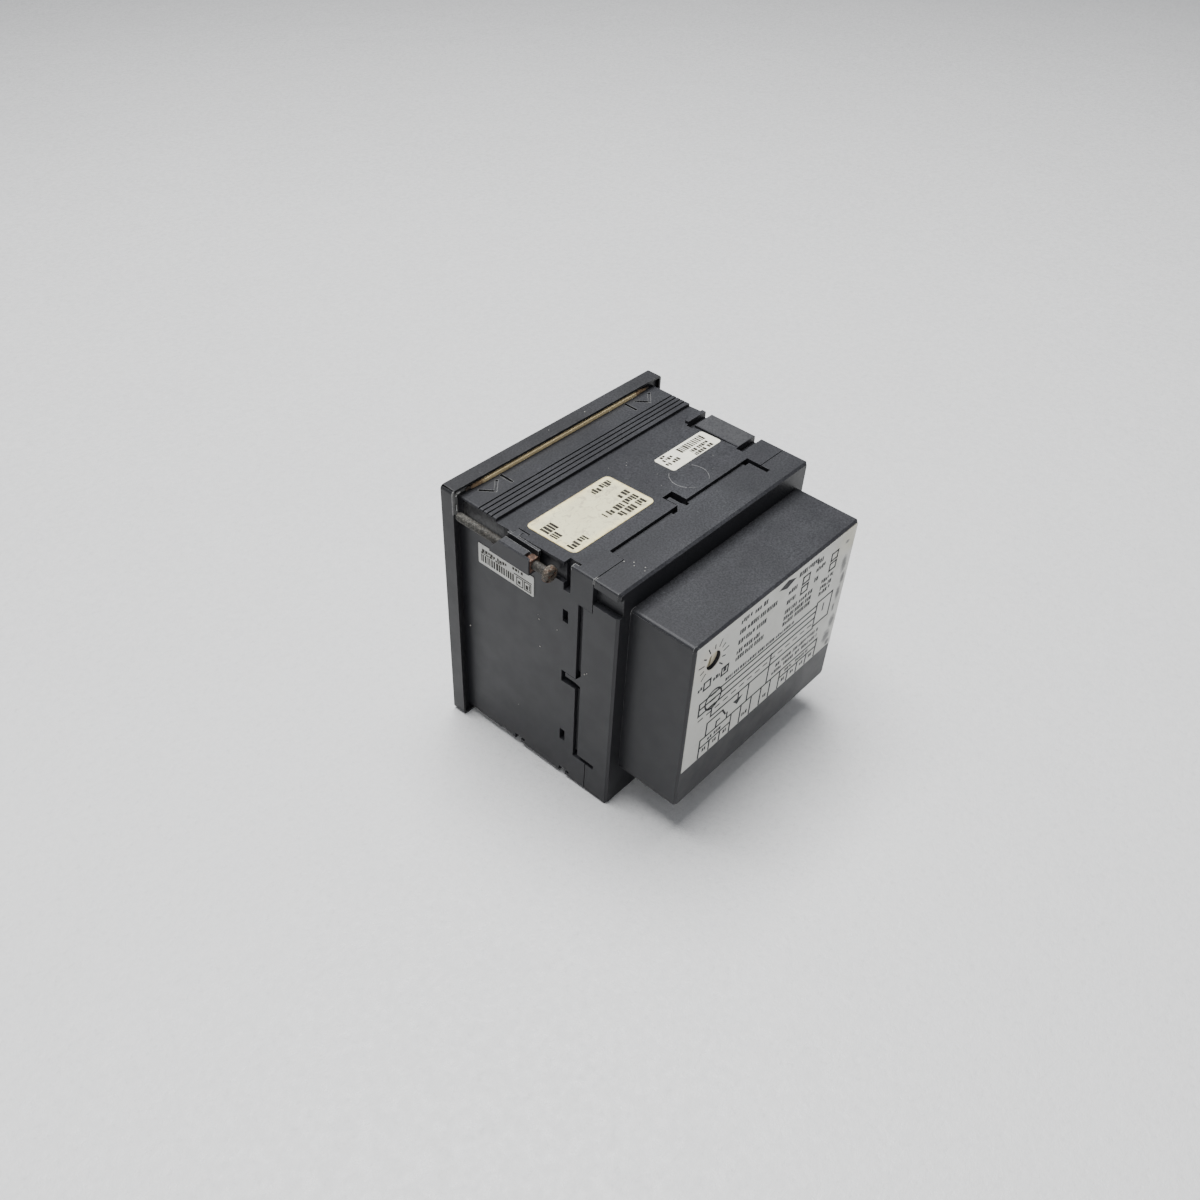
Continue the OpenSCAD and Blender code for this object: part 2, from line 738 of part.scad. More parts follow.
// Laminated core with its long side across, standing on the board
module transformer_core() {
    color([0.35, 0.35, 0.37]) translate([-14, 0, -8]) difference() {
        block(-15, 15, board_front - 21.5, board_front - 2, -12.5, 12.5);
        for (s = [-1, 1]) translate([s * 7.5, 0, 0])
            block(-2.6, 2.6, board_front - 22.5, board_front - 1, -7.5, 7.5);
    }
}

module transformer_coil() {
    color([0.85, 0.8, 0.55]) translate([-14, 0, -8]) difference() {
        union() {
            for (s = [-1, 1]) translate([s * 7.5, 0, 0])
                block(-2.5, 2.5, board_front - 21.6, board_front, -7.4, 7.4);
            block(-10, 10, board_front - 2, board_front, -10, 10);
        }
    }
}

module output_relay() {
    color([0.15, 0.3, 0.55])
        block(8.5 - board_half, 27.5 - board_half, board_rear, board_rear + 15.3, board_half - 32.5, board_half - 17);
}

module filter_capacitor() {
    color([0.15, 0.15, 0.4]) union() {
        rod(board_half - 18.5, 12, 6.3, board_front - 25, board_front);
        rod(board_half - 18.5, 12, 5.6, board_front - 25.4, board_front - 25);
    }
}

module small_capacitors() {
    color([0.2, 0.2, 0.5]) for (p = [[board_half - 18.5, -6], [board_half - 10.5, -14], [6, board_half - 14.5]])
        rod(p[0], p[1], 3.15, board_front - 11, board_front, 32);
}

module logic_chips() {
    color([0.1, 0.1, 0.1]) for (p = [[2, 4], [2, -10], [-20, -14]])
        block(p[0] - 10, p[0] + 10, board_rear, board_rear + 4, p[1] - 3.2, p[1] + 3.2);
}

module trimmer_body() {
    color([0.15, 0.25, 0.5]) difference() {
        block(trim_x - trim_body_w / 2, trim_x + trim_body_w / 2 - 1.2, board_rear, trim_body_rear,
            trim_z - trim_body_w / 2, trim_z + trim_body_w / 2);
        rod(trim_x, trim_z, trim_shaft_r + running, trim_body_rear - 8, trim_body_rear + past);
    }
}

module trimmer_rotor() {
    color([0.82, 0.76, 0.6]) difference() {
        union() {
            rod(trim_x, trim_z, trim_rotor_r, trim_face - trim_disc, trim_face);
            rod(trim_x, trim_z, trim_shaft_r, trim_body_rear - 7.6, trim_face - trim_disc + 0.1);
        }
        translate([trim_x, 0, trim_z]) rotate([0, -10, 0])
            block(-0.45, 0.45, trim_face - 1.2, trim_face + past, -trim_rotor_r + 0.4, trim_rotor_r + past);
    }
}

module terminal_block() {
    color([0.2, 0.2, 0.2]) difference() {
        block(-block_w / 2, block_w / 2, block_front, block_rear, block_low, block_top);
        for (i = [0:poles - 1]) translate([(i - (poles - 1) / 2) * pole_pitch, 0, 0]) {
            block(-1.9, 1.9, wire_y - 1.9, wire_y + 1.9, block_low - past, block_low + 10);
            translate([0, screw_y, block_low - past]) cylinder(r = 1.9, h = 8, $fn = 24);
            block(-0.6, 0.6, block_front - past, wire_y - 1.8, terminal_z - 0.5, terminal_z + 0.5);
        }
    }
}

module terminal_screws() {
    color([0.8, 0.8, 0.78]) for (i = [0:poles - 1])
        translate([(i - (poles - 1) / 2) * pole_pitch, screw_y, block_low + 1.6]) difference() {
            cylinder(r = 1.75, h = 5.4 - 0.6, $fn = 24);
            translate([-3, -0.3, -past]) cube([6, 0.6, past + 0.8]);
        }
}

module terminal_cages() {
    color([0.78, 0.76, 0.7]) for (i = [0:poles - 1])
        translate([(i - (poles - 1) / 2) * pole_pitch, 0, 0]) union() {
            difference() {
                block(-1.8, 1.8, wire_y - 1.8, wire_y + 1.8, block_low + 2.5, block_low + 9.9);
                block(-1.3, 1.3, wire_y - 1.3, wire_y + 1.3, block_low + 2, block_low + 9);
            }
            block(-0.5, 0.5, board_front - 0.8, wire_y - 1.7, terminal_z - 0.4, terminal_z + 0.4);
        }
}

// The clamp's plate lies on the side of the case, its hook sits in the near slot
module clamp_body() {
    y0 = slot_near + slip;
    y1 = slot_near + slot_w - hook_play;
    y2 = slot_near + slot_w + toe_w - hook_play;
    x0 = case_half - hook_depth + hook_play;
    x1 = case_half - hook_depth + toe_d - slip;
    plate_x = case_half + 1;
    pocket_low = clamp_low + 0.6;
    color(black) difference() {
        union() {
            rise(case_half - hook_length + slip, case_half - 0.95)
                polygon([[plate_x, y0], [plate_x, y1], [x1, y1], [x1, y2], [x0, y2], [x0, y0]]);
            block(case_half + 0.05, plate_x, plate_y0, plate_y1, clamp_low - 0.8, case_half - 1);
            span(case_half + 0.1, clamp_out) polygon([[block_y0, clamp_low], [block_y1, clamp_low],
                [block_y1, clamp_top], [block_y0 + 4, clamp_top], [block_y0, clamp_low + 1]]);
        }
        rod(screw_x, screw_z, screw_r + 0.08, block_y0 - past, block_y1 + past);
        // pocket for the nut, open to the top and to the rear
        block(plate_x, screw_x + nut_x + running, pocket_y, plate_y1 + past, pocket_low, clamp_top + past);
        block(case_half, plate_x + slip, pocket_y, plate_y1 + past, pocket_low, screw_z + nut_z + slip);
        block(case_half, plate_x + slip, block_y1, plate_y1 + past, clamp_low - past, pocket_low + slip);
        // groove between the plate and the block
        block(plate_x, plate_x + 0.9, block_y0 - past, pocket_y + past, clamp_top - 1.2, clamp_top + past);
        // rounded outer edge
        translate([clamp_out, block_y0 - past, clamp_top]) rotate([0, 45, 0])
            translate([-0.3, 0, -0.3]) cube([0.6, 2 * block_y1, 0.6]);
    }
}

module clamp_nut() {
    color([0.45, 0.3, 0.2]) difference() {
        block(screw_x - nut_x, screw_x + nut_x, pocket_y, pocket_y + nut_t, screw_z - nut_z, screw_z + nut_z);
        rod(screw_x, screw_z, screw_r + 0.08, pocket_y - past, pocket_y + nut_t + past);
    }
}

module clamp_screw() {
    color([0.55, 0.5, 0.45]) difference() {
        union() {
            translate([screw_x, screw_tip_y, screw_z]) rotate([-90, 0, 0])
                cylinder(r1 = screw_r - 0.5, r2 = screw_r, h = 0.8, $fn = 32);
            rod(screw_x, screw_z, screw_r, screw_tip_y + 0.8, head_y);
            rod(screw_x, screw_z, screw_head_r, head_y, head_y + head_t);
        }
        translate([screw_x, 0, screw_z]) rotate([0, 35, 0])
            block(-4, 4, head_y + head_t - 1, head_y + head_t + past, -0.45, 0.45);
    }
}

module clamp_body_right() {
    clamp_body();
}

module clamp_nut_right() {
    clamp_nut();
}

module clamp_screw_right() {
    clamp_screw();
}

module clamp_body_left() {
    rotate([0, 180, 0]) clamp_body();
}

module clamp_nut_left() {
    rotate([0, 180, 0]) clamp_nut();
}

module clamp_screw_left() {
    rotate([0, 180, 0]) clamp_screw();
}

module rear_label() {
    color([0.82, 0.82, 0.8]) difference() {
        block(-box_minus_x + 0.7, box_plus_x - 1, box_rear, box_rear + label_t, 15.3 - box_bottom, box_top - 1);
        rod(trim_x, trim_z, trim_hole_r, box_rear - past, box_rear + past);
    }
}

// A rounded label on the sloping panel of the top, from its corner nearest the panel plane
module top_sticker(x0, x1, y0, y1, r) {
    slope = atan(panel_drop / (panel_end - panel_start));
    translate([0, panel_end, case_half]) rotate([slope, 0, 0])
        translate([(x0 + x1) / 2, (y0 + y1) / 2 - panel_end, 0.02])
            linear_extrude(height = label_t) polygon(round_rect(x1 - x0, y1 - y0, r));
}

module type_label() {
    x = case_half - 4.4;
    color([0.93, 0.9, 0.8]) top_sticker(x - 35.6, x, 22.7, 42.4, 2);
}

module top_label() {
    x = 0.6 - plate_edge;
    color([0.95, 0.95, 0.95]) top_sticker(x, x + 24.1, 28, 36.4, 1);
}

module side_label() {
    w = 23.4;
    h = 7.6;
    color([0.85, 0.85, 0.83]) translate([case_half + 0.02, 0, 0])
        rotate([90, 0, 90]) translate([7.4 + w / 2, channel_low - 5.2 - h / 2, 0])
            linear_extrude(height = label_t) polygon(round_rect(w, h, 0.3));
}

bezel_frame();
front_window();
gasket_top();
gasket_bottom();
pivot_shroud();
zero_adjuster();
dial_plate();
pointer();
balance_weights();
pointer_staff();
moving_coil();
hairspring_front();
hairspring_rear();
front_bearing();
rear_bearing();
front_bridge();
rear_bridge();
movement_plate();
yoke_ring();
core_magnet();
alarm_lamp();
lamp_board();
front_case();
rear_cover();
main_board();
board_screws();
transformer_core();
transformer_coil();
output_relay();
filter_capacitor();
small_capacitors();
logic_chips();
trimmer_body();
trimmer_rotor();
terminal_block();
terminal_screws();
terminal_cages();
clamp_body_right();
clamp_nut_right();
clamp_screw_right();
clamp_body_left();
clamp_nut_left();
clamp_screw_left();
rear_label();
type_label();
top_label();
side_label();
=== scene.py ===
"""Looks of a square panel instrument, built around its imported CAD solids. Metres, in the row frame."""

import math
import random

import bmesh
import bpy
from mathutils import Matrix, Vector, noise


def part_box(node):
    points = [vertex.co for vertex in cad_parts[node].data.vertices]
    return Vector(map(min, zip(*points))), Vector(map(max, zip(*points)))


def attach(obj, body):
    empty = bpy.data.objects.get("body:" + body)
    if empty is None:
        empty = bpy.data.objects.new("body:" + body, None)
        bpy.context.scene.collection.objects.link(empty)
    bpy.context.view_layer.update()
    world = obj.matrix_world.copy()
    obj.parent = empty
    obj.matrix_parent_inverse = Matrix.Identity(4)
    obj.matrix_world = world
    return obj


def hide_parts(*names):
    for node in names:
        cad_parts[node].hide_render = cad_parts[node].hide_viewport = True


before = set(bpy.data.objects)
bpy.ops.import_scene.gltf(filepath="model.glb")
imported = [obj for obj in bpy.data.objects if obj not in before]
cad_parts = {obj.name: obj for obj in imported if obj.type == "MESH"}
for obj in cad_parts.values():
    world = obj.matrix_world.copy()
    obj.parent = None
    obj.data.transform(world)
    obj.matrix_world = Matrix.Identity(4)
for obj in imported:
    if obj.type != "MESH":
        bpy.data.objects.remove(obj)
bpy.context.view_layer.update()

MM = 0.001
HOUSING = "housing"
# Print stands this far out of its label, and reaches as far into it
INK_T = 0.02 * MM
# Both sources of random values are seeded, so that each run gives the same scene: the first is for marks
# and dust, and the second for the strips' ragged faces and the crust on the screw heads
draw = random.Random(7)
noise.seed_set(5)

# Place and direction of the camera, fitted to the corners of the frame and the case
CAMERA_AT = Vector((0.22380, 0.20631, 0.24733))
CAMERA_RIGHT = Vector((-0.67010, 0.74111, 0.04154))
CAMERA_DOWN = Vector((0.47319, 0.46963, -0.74534))
CAMERA_AHEAD = Vector((-0.57189, -0.47980, -0.66539))
CAMERA_LENS = 33.994
CAMERA_SENSOR = 36
CAMERA_CLIP = (0.01, 20)


def make_camera():
    """The camera at the photograph's viewing angle."""
    data = bpy.data.cameras.new("camera")
    data.sensor_width = CAMERA_SENSOR
    data.lens = CAMERA_LENS
    data.clip_start, data.clip_end = CAMERA_CLIP
    cam = bpy.data.objects.new("camera", data)
    turn = Matrix((CAMERA_RIGHT, -CAMERA_DOWN, -CAMERA_AHEAD)).transposed().to_4x4()
    cam.matrix_world = Matrix.Translation(CAMERA_AT) @ turn
    bpy.context.collection.objects.link(cam)
    bpy.context.scene.camera = cam


# Colour sockets of the Mix node: its two inputs and its output
MIX_A, MIX_B, MIX_RESULT = 6, 7, 2
# How far a rounded normal agrees with the true one, on a flat stretch and at a sharp edge
AGREES_FLAT, AGREES_EDGE = 0.985, 0.86


def shade(color, factor):
    """The same colour, darker or lighter."""
    return tuple(c * factor for c in color)


class Web:
    """A material whose nodes are built with short calls."""

    def __init__(self, name, color, rough, metal=0.0):
        self.mat = bpy.data.materials.new(name)
        self.mat.use_nodes = True
        self.tree = self.mat.node_tree
        self.shader = self.tree.nodes["Principled BSDF"]
        self.set("Base Color", (*color, 1))
        self.set("Roughness", rough)
        self.set("Metallic", metal)
        self.place = self.add("ShaderNodeTexCoord").outputs["Object"]

    def set(self, name, value):
        """A constant on the shader's own socket."""
        self.shader.inputs[name].default_value = value

    def feed(self, name, source):
        """A texture into one of the shader's sockets."""
        self.tree.links.new(source, self.shader.inputs[name])

    def add(self, kind, **settings):
        """A new node with some of its properties set."""
        node = self.tree.nodes.new(kind)
        for key, value in settings.items():
            setattr(node, key, value)
        return node

    def put(self, socket, value):
        """Links a socket or sets a constant, whichever value is."""
        if isinstance(value, bpy.types.NodeSocket):
            self.tree.links.new(value, socket)
        elif isinstance(value, (tuple, list)) and len(value) == 3 and socket.type == "RGBA":
            socket.default_value = (*value, 1)
        else:
            socket.default_value = value

    def noise(self, size, detail=3.0, rough=0.5, where=None, distort=0.0):
        """Noise with blotches of about that size in metres, from 0 to 1."""
        node = self.add("ShaderNodeTexNoise")
        self.put(node.inputs["Vector"], where or self.place)
        self.put(node.inputs["Scale"], 1 / size)
        self.put(node.inputs["Detail"], detail)
        self.put(node.inputs["Roughness"], rough)
        self.put(node.inputs["Distortion"], distort)
        return node.outputs["Fac"]

    def cells(self, size, where=None):
        """Distance to the middle of the nearest cell, for cells of about that size in metres."""
        node = self.add("ShaderNodeTexVoronoi")
        self.put(node.inputs["Vector"], where or self.place)
        self.put(node.inputs["Scale"], 1 / size)
        return node.outputs["Distance"]

    def ramp(self, value, low, high, to_low=0.0, to_high=1.0):
        """A soft step of value between low and high."""
        node = self.add("ShaderNodeMapRange", interpolation_type="SMOOTHSTEP")
        for key, number in zip(("Value", "From Min", "From Max", "To Min", "To Max"),
                               (value, low, high, to_low, to_high)):
            self.put(node.inputs[key], number)
        return node.outputs["Result"]

    def math(self, operation, a, b=0.0):
        """A sum, difference or other operation on one or two values."""
        node = self.add("ShaderNodeMath", operation=operation)
        self.put(node.inputs[0], a)
        self.put(node.inputs[1], b)
        return node.outputs[0]

    def times(self, a, b):
        """The product of two values."""
        return self.math("MULTIPLY", a, b)

    def mix(self, factor, a, b):
        """Colour a, turning to colour b as factor goes from 0 to 1."""
        node = self.add("ShaderNodeMix", data_type="RGBA")
        self.put(node.inputs["Factor"], factor)
        self.put(node.inputs[MIX_A], a)
        self.put(node.inputs[MIX_B], b)
        return node.outputs[MIX_RESULT]

    def axes(self, where=None):
        """X, Y and Z of a vector, or of the place on the object."""
        node = self.add("ShaderNodeSeparateXYZ")
        self.put(node.inputs[0], where or self.place)
        return node.outputs

    def facing(self):
        """The surface's own direction, as X, Y and Z parts."""
        return self.axes(self.add("ShaderNodeNewGeometry").outputs["Normal"])

    def within(self, low, high, soft=0.5):
        """1 inside a box given in millimetres, 0 outside it."""
        mask = None
        for along, a, b in zip(self.axes(), low, high):
            for start, stop in ((a - soft, a), (b + soft, b)):
                side = self.ramp(along, start * MM, stop * MM)
                mask = side if mask is None else self.times(mask, side)
        return mask

    def stretched(self, x, y, z):
        """The place on the object, scaled along each axis."""
        node = self.add("ShaderNodeMapping")
        self.put(node.inputs["Vector"], self.place)
        node.inputs["Scale"].default_value = (x, y, z)
        return node.outputs[0]

    def bump(self, height, distance, strength=1.0, under=None):
        """Relief of that depth in metres, on top of another relief where one is given."""
        node = self.add("ShaderNodeBump")
        self.put(node.inputs["Height"], height)
        self.put(node.inputs["Distance"], distance)
        self.put(node.inputs["Strength"], strength)
        if under is not None:
            self.put(node.inputs["Normal"], under)
        return node.outputs[0]

    def edges(self, radius):
        """1 on sharp edges, 0 on flat stretches."""
        soft = self.add("ShaderNodeBevel", samples=6)
        self.put(soft.inputs["Radius"], radius)
        hard = self.add("ShaderNodeNewGeometry").outputs["Normal"]
        dot = self.add("ShaderNodeVectorMath", operation="DOT_PRODUCT")
        self.put(dot.inputs[0], soft.outputs[0])
        self.put(dot.inputs[1], hard)
        return self.ramp(dot.outputs["Value"], AGREES_FLAT, AGREES_EDGE)


# Dust, scuffs and rubbed spots on the dark plastics, and pale colours that also serve as painted
# highlights and glints
DUST_COOL = (0.27, 0.30, 0.31)
DUST_VIOLET = (0.30, 0.29, 0.34)
SCUFF_PALE = (0.42, 0.43, 0.44)
# Pale colours for faces and for edges: rubbing and dust, and also painted glints and highlights where
# light catches them
RUBBED_DUST_AND_GLINT = (0.30, 0.30, 0.295)
WORN_EDGE_AND_HIGHLIGHT = (0.62, 0.62, 0.60)


def moulded_plastic(name, color, rough, dust, wear, worn=(0.16, 0.16, 0.17), bright=()):
    """Dark moulded plastic: fine grain, thin dust on what faces up, rubbed edges.

    Each entry of bright is a box in millimetres, a strength, and whether the whole surface in it is
    made paler, or only its edges. The paler colour stands for rubbing and dust, and in some boxes
    also for painted highlights and glints where light catches the plastic.
    """
    web = Web(name, color, rough)
    web.set("Specular IOR Level", 0.32)
    lying = web.ramp(web.facing()[2], 0.0, 0.95, 0.06, 1.0)
    film = web.ramp(web.noise(30 * MM, 3, 0.5), 0.30, 0.72, 0.45, 1.0)
    fine = web.ramp(web.noise(0.6 * MM, 5, 0.8), 0.38, 0.62, 0.2, 1.1)
    haze = web.times(web.times(film, lying), web.times(fine, dust))
    fibre = web.noise(1.1 * MM, 6, 0.8, web.stretched(1.0, 0.45, 1.0), 0.6)
    scuff = web.times(web.ramp(fibre, 0.60, 0.70, 0.0, 0.6), lying)
    rub = web.edges(0.35 * MM)
    patchy = web.times(rub, web.ramp(web.noise(3 * MM, 5, 0.65), 0.42, 0.62))
    tone = web.mix(web.noise(1.5 * MM, 4, 0.7), shade(color, 0.78), shade(color, 1.25))
    tint = web.mix(web.noise(7 * MM, 3, 0.6), DUST_COOL, DUST_VIOLET)
    tone = web.mix(haze, tone, tint)
    tone = web.mix(web.times(scuff, dust), tone, SCUFF_PALE)
    tone = web.mix(web.times(patchy, wear), tone, worn)
    # Each box makes its faces or its edges paler: rubbing and dust, and in some boxes a painted highlight
    for low, high, strength, flat in bright:
        spot = web.ramp(web.noise(1.6 * MM, 5, 0.8), 0.34, 0.56, strength * 0.3, strength)
        spot = web.times(spot, web.within(low, high, 0.15 if flat else 0.5))
        if flat:
            tone = web.mix(spot, tone, RUBBED_DUST_AND_GLINT)
        else:
            tone = web.mix(web.times(spot, rub), tone, WORN_EDGE_AND_HIGHLIGHT)
    web.feed("Base Color", tone)
    gloss = web.ramp(web.noise(6 * MM, 4, 0.6), 0.3, 0.7, rough - 0.02, rough + 0.05)
    web.feed("Roughness", web.math("ADD", gloss, web.times(haze, 0.5)))
    grain = web.bump(web.noise(0.25 * MM, 2), 0.012 * MM, 0.7)
    web.feed("Normal", web.bump(web.noise(30 * MM, 1), 0.06 * MM, 0.4, grain))
    return web.mat


# Paper label with a browned rim: the rim, the paler middle and the smudges on it
RIM_BROWN = (0.30, 0.20, 0.06)
MIDDLE_PALE = (0.68, 0.68, 0.50)
SMUDGE = (0.50, 0.46, 0.33)


def film_label(name, color, stain, stain_strength, rim=None):
    """Printed film or paper: faint mottling, soiled patches, a light sheen.

    Where rim names the label's node, its edges are browned and its middle is paler and smudged.
    """
    web = Web(name, color, 0.42)
    web.set("Specular IOR Level", 0.25)
    patch = web.ramp(web.noise(9 * MM, 5, 0.65), 0.46, 0.70, 0.0, stain_strength)
    grime = web.ramp(web.noise(1.2 * MM, 4, 0.7), 0.52, 0.76, 0.0, 0.35)
    tone = web.mix(patch, color, stain)
    tone = web.mix(grime, tone, shade(stain, 0.55))
    if rim is not None:
        low, high = (Vector(v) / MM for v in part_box(rim))
        inset = Vector((0.5, 0.5, -1))
        inner = web.within(low + inset, high - inset, 0.5)
        ragged = web.ramp(web.noise(1.5 * MM, 4, 0.7), 0.3, 0.6, 0.15, 0.75)
        browned = web.times(web.math("SUBTRACT", 1.0, inner), ragged)
        tone = web.mix(browned, tone, RIM_BROWN)
        inset = Vector((3, 3, -1))
        pale = web.within(low + inset, high - inset, 3)
        tone = web.mix(web.times(pale, 0.6), tone, MIDDLE_PALE)
        smudge = web.ramp(web.noise(2.6 * MM, 5, 0.7, None, 1.2), 0.50, 0.62, 0.0, 0.75)
        tone = web.mix(smudge, tone, SMUDGE)
    web.feed("Base Color", tone)
    web.feed("Roughness", web.ramp(web.noise(4 * MM, 3), 0.3, 0.7, 0.36, 0.55))
    web.feed("Normal", web.bump(web.noise(5 * MM, 2), 0.03 * MM, 0.5))
    return web.mat


# Dark rubbed patches near the right end of the rear label: place x, z and half width, half height
SMEARS = (
    (-37.6, 21.2, 2.0, 5.0), (-38.8, 15.0, 1.5, 3.6), (-38.0, 9.0, 1.6, 4.2), (-37.2, 3.0, 1.0, 2.4),
    (-38.4, -3.6, 2.2, 4.2), (-36.9, -9.8, 2.8, 4.4), (-38.6, -13.4, 1.7, 2.0), (-36.6, 30.9, 1.5, 1.0),
)
SMEAR_BLACK = (0.04, 0.04, 0.04)
# Middle of the yellowed halo near the adjuster: x and z in millimetres
HALO_AT = (33, 27)


def rear_film(name):
    """The rear label: smears at its right end, yellowed near the corner and at the adjuster."""
    web = Web(name, (0.53, 0.53, 0.49), 0.38)
    x, _, z = web.axes()
    torn = web.times(web.noise(1.3 * MM, 6, 0.8, web.stretched(0.7, 1, 1.0)), 1.3)
    smear = None
    for at_x, at_z, half_x, half_z in SMEARS:
        shape = web.add("ShaderNodeVectorMath", operation="DISTANCE")
        web.put(shape.inputs[0], web.stretched(1 / half_x, 0.0, 1 / half_z))
        shape.inputs[1].default_value = (at_x / half_x * MM, 0.0, at_z / half_z * MM)
        away = web.math("DIVIDE", shape.outputs["Value"], MM)
        spot = web.ramp(web.math("ADD", away, torn), 1.65, 0.95)
        smear = spot if smear is None else web.math("MAXIMUM", smear, spot)
    corner = web.times(web.ramp(x, -27 * MM, -38 * MM), web.ramp(z, 23 * MM, 29 * MM))
    around = web.add("ShaderNodeVectorMath", operation="DISTANCE")
    web.put(around.inputs[0], web.place)
    around.inputs[1].default_value = (HALO_AT[0] * MM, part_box("rear_label")[1][1], HALO_AT[1] * MM)
    halo = web.ramp(around.outputs["Value"], 9 * MM, 2.5 * MM, 0.0, 0.5)
    tone = web.mix(web.noise(16 * MM, 3), (0.49, 0.49, 0.455), (0.58, 0.58, 0.54))
    tone = web.mix(web.times(corner, 0.5), tone, (0.55, 0.52, 0.36))
    tone = web.mix(halo, tone, (0.58, 0.53, 0.44))
    grime = web.ramp(web.noise(1.6 * MM, 5, 0.7), 0.52, 0.75, 0.0, 0.3)
    tone = web.mix(grime, tone, (0.25, 0.24, 0.22))
    tone = web.mix(web.times(smear, 0.92), tone, SMEAR_BLACK)
    web.feed("Base Color", tone)
    web.feed("Roughness", web.ramp(web.noise(5 * MM, 3), 0.3, 0.7, 0.32, 0.5))
    web.feed("Normal", web.bump(web.noise(6 * MM, 2), 0.03 * MM, 0.5))
    return web.mat


def ink(name, color=(0.015, 0.015, 0.018), faded=(0.055, 0.055, 0.055)):
    """Matt print, faded in patches."""
    web = Web(name, color, 0.6)
    web.set("Specular IOR Level", 0.2)
    web.feed("Base Color", web.mix(web.ramp(web.noise(2.5 * MM, 4, 0.7), 0.35, 0.75), color, faded))
    return web.mat


# The darker rear part of a clamp screw: its colour, and the length over which it sets in
REAR_DARK = (0.035, 0.03, 0.025)
REAR_DARK_FADE = 7 * MM


def rusty_steel(name, bare, rust, amount, powder, dust, darker_from=None):
    """Old plated steel: rust bloom in patches, dull powder over it, thicker on what faces up.

    Where darker_from is given, what lies further back than that turns darker in blotches.
    """
    web = Web(name, bare, 0.6, 0.15)
    bloom = web.ramp(web.noise(1.3 * MM, 5, 0.7), 0.62 - 0.3 * amount, 0.80 - 0.3 * amount)
    tone = web.mix(bloom, bare, web.mix(web.noise(0.5 * MM, 3), rust, shade(rust, 0.3)))
    lying = web.ramp(web.facing()[2], -0.2, 0.9, 0.35, 1.0)
    grains = web.times(web.ramp(web.noise(0.8 * MM, 5, 0.7), 0.38, 0.62), lying)
    tone = web.mix(web.times(grains, dust), tone, powder)
    if darker_from is not None:
        behind = web.ramp(web.axes()[1], darker_from, darker_from + REAR_DARK_FADE)
        blotches = web.ramp(web.noise(1.8 * MM, 4, 0.7), 0.32, 0.6, 0.25, 0.95)
        tone = web.mix(web.times(behind, blotches), tone, REAR_DARK)
    pits = web.cells(0.6 * MM)
    tone = web.mix(web.ramp(pits, 0.34, 0.62, 0.0, 0.65), tone, shade(bare, 0.25))
    web.feed("Base Color", tone)
    web.feed("Roughness", web.ramp(bloom, 0, 1, 0.6, 0.9))
    rough = web.bump(pits, 0.16 * MM, 0.7)
    web.feed("Normal", web.bump(web.noise(0.35 * MM, 4, 0.7), 0.12 * MM, 1.0, rough))
    return web.mat


def plain_metal(name, color, rough, grain=0.25 * MM, metal=1.0):
    """Machined or plated metal with slight variation of tone and gloss."""
    web = Web(name, color, rough, metal)
    web.feed("Base Color", web.mix(web.noise(2 * MM, 4, 0.6), shade(color, 0.8), color))
    web.feed("Roughness", web.ramp(web.noise(0.8 * MM, 4), 0.3, 0.7, rough - 0.08, rough + 0.12))
    web.feed("Normal", web.bump(web.noise(grain, 3), 0.008 * MM, 0.6))
    return web.mat


def plain_plastic(name, color, rough, spread=0.15):
    """Plain plastic, darker by spread in places."""
    web = Web(name, color, rough)
    web.feed("Base Color", web.mix(web.noise(4 * MM, 3), shade(color, 1 - spread), color))
    web.feed("Roughness", web.ramp(web.noise(3 * MM, 3), 0.3, 0.7, rough - 0.05, rough + 0.07))
    web.feed("Normal", web.bump(web.noise(0.3 * MM, 2), 0.008 * MM, 0.5))
    return web.mat


# The sealing strip's pale tones, its darker edge next to the case, and its ends that turn brown and then
# dark
FOAM_PALE = (0.98, 0.82, 0.48)
FOAM_TAN = (0.74, 0.57, 0.30)
FOAM_INNER_DARK = (0.16, 0.12, 0.06)
FOAM_BROWN = (0.42, 0.29, 0.17)
FOAM_DARK = (0.10, 0.08, 0.065)
# Distances from the middle of the device, up or down for the darker inner edge and sideways for the ends
INNER_DARK_SPAN = (45.6 * MM, 45.2 * MM)
BROWN_SPAN = (35.0 * MM, 36.5 * MM)
DARK_SPAN = (39.5 * MM, 41 * MM)


def aged_foam(name):
    """Pale sealing strip, open-pored, browned towards its ends."""
    web = Web(name, (0.34, 0.30, 0.20), 0.9)
    x, _, z = web.axes()
    wander = web.times(web.math("SUBTRACT", web.noise(3 * MM, 4, 0.7), 0.5), 9 * MM)
    away = web.math("ADD", web.math("ABSOLUTE", x), wander)
    tone = web.mix(web.noise(1.2 * MM, 5, 0.7), FOAM_PALE, FOAM_TAN)
    # Darker along the strip's edge next to the case
    tone = web.mix(web.ramp(web.math("ABSOLUTE", z), *INNER_DARK_SPAN, 0.0, 0.4), tone, FOAM_INNER_DARK)
    tone = web.mix(web.ramp(away, *BROWN_SPAN), tone, FOAM_BROWN)
    tone = web.mix(web.ramp(away, *DARK_SPAN), tone, FOAM_DARK)
    web.feed("Base Color", tone)
    web.feed("Normal", web.bump(web.noise(0.4 * MM, 4, 0.75), 0.15 * MM, 0.9))
    return web.mat


def clear_pane(name):
    """Thin clear plastic: mostly see-through, with its gloss kept up by a high index."""
    web = Web(name, (0.02, 0.02, 0.02), 0.06)
    web.set("Alpha", 0.12)
    web.set("IOR", 1.9)
    web.feed("Roughness", web.ramp(web.noise(12 * MM, 4, 0.6), 0.45, 0.8, 0.05, 0.16))
    return web.mat


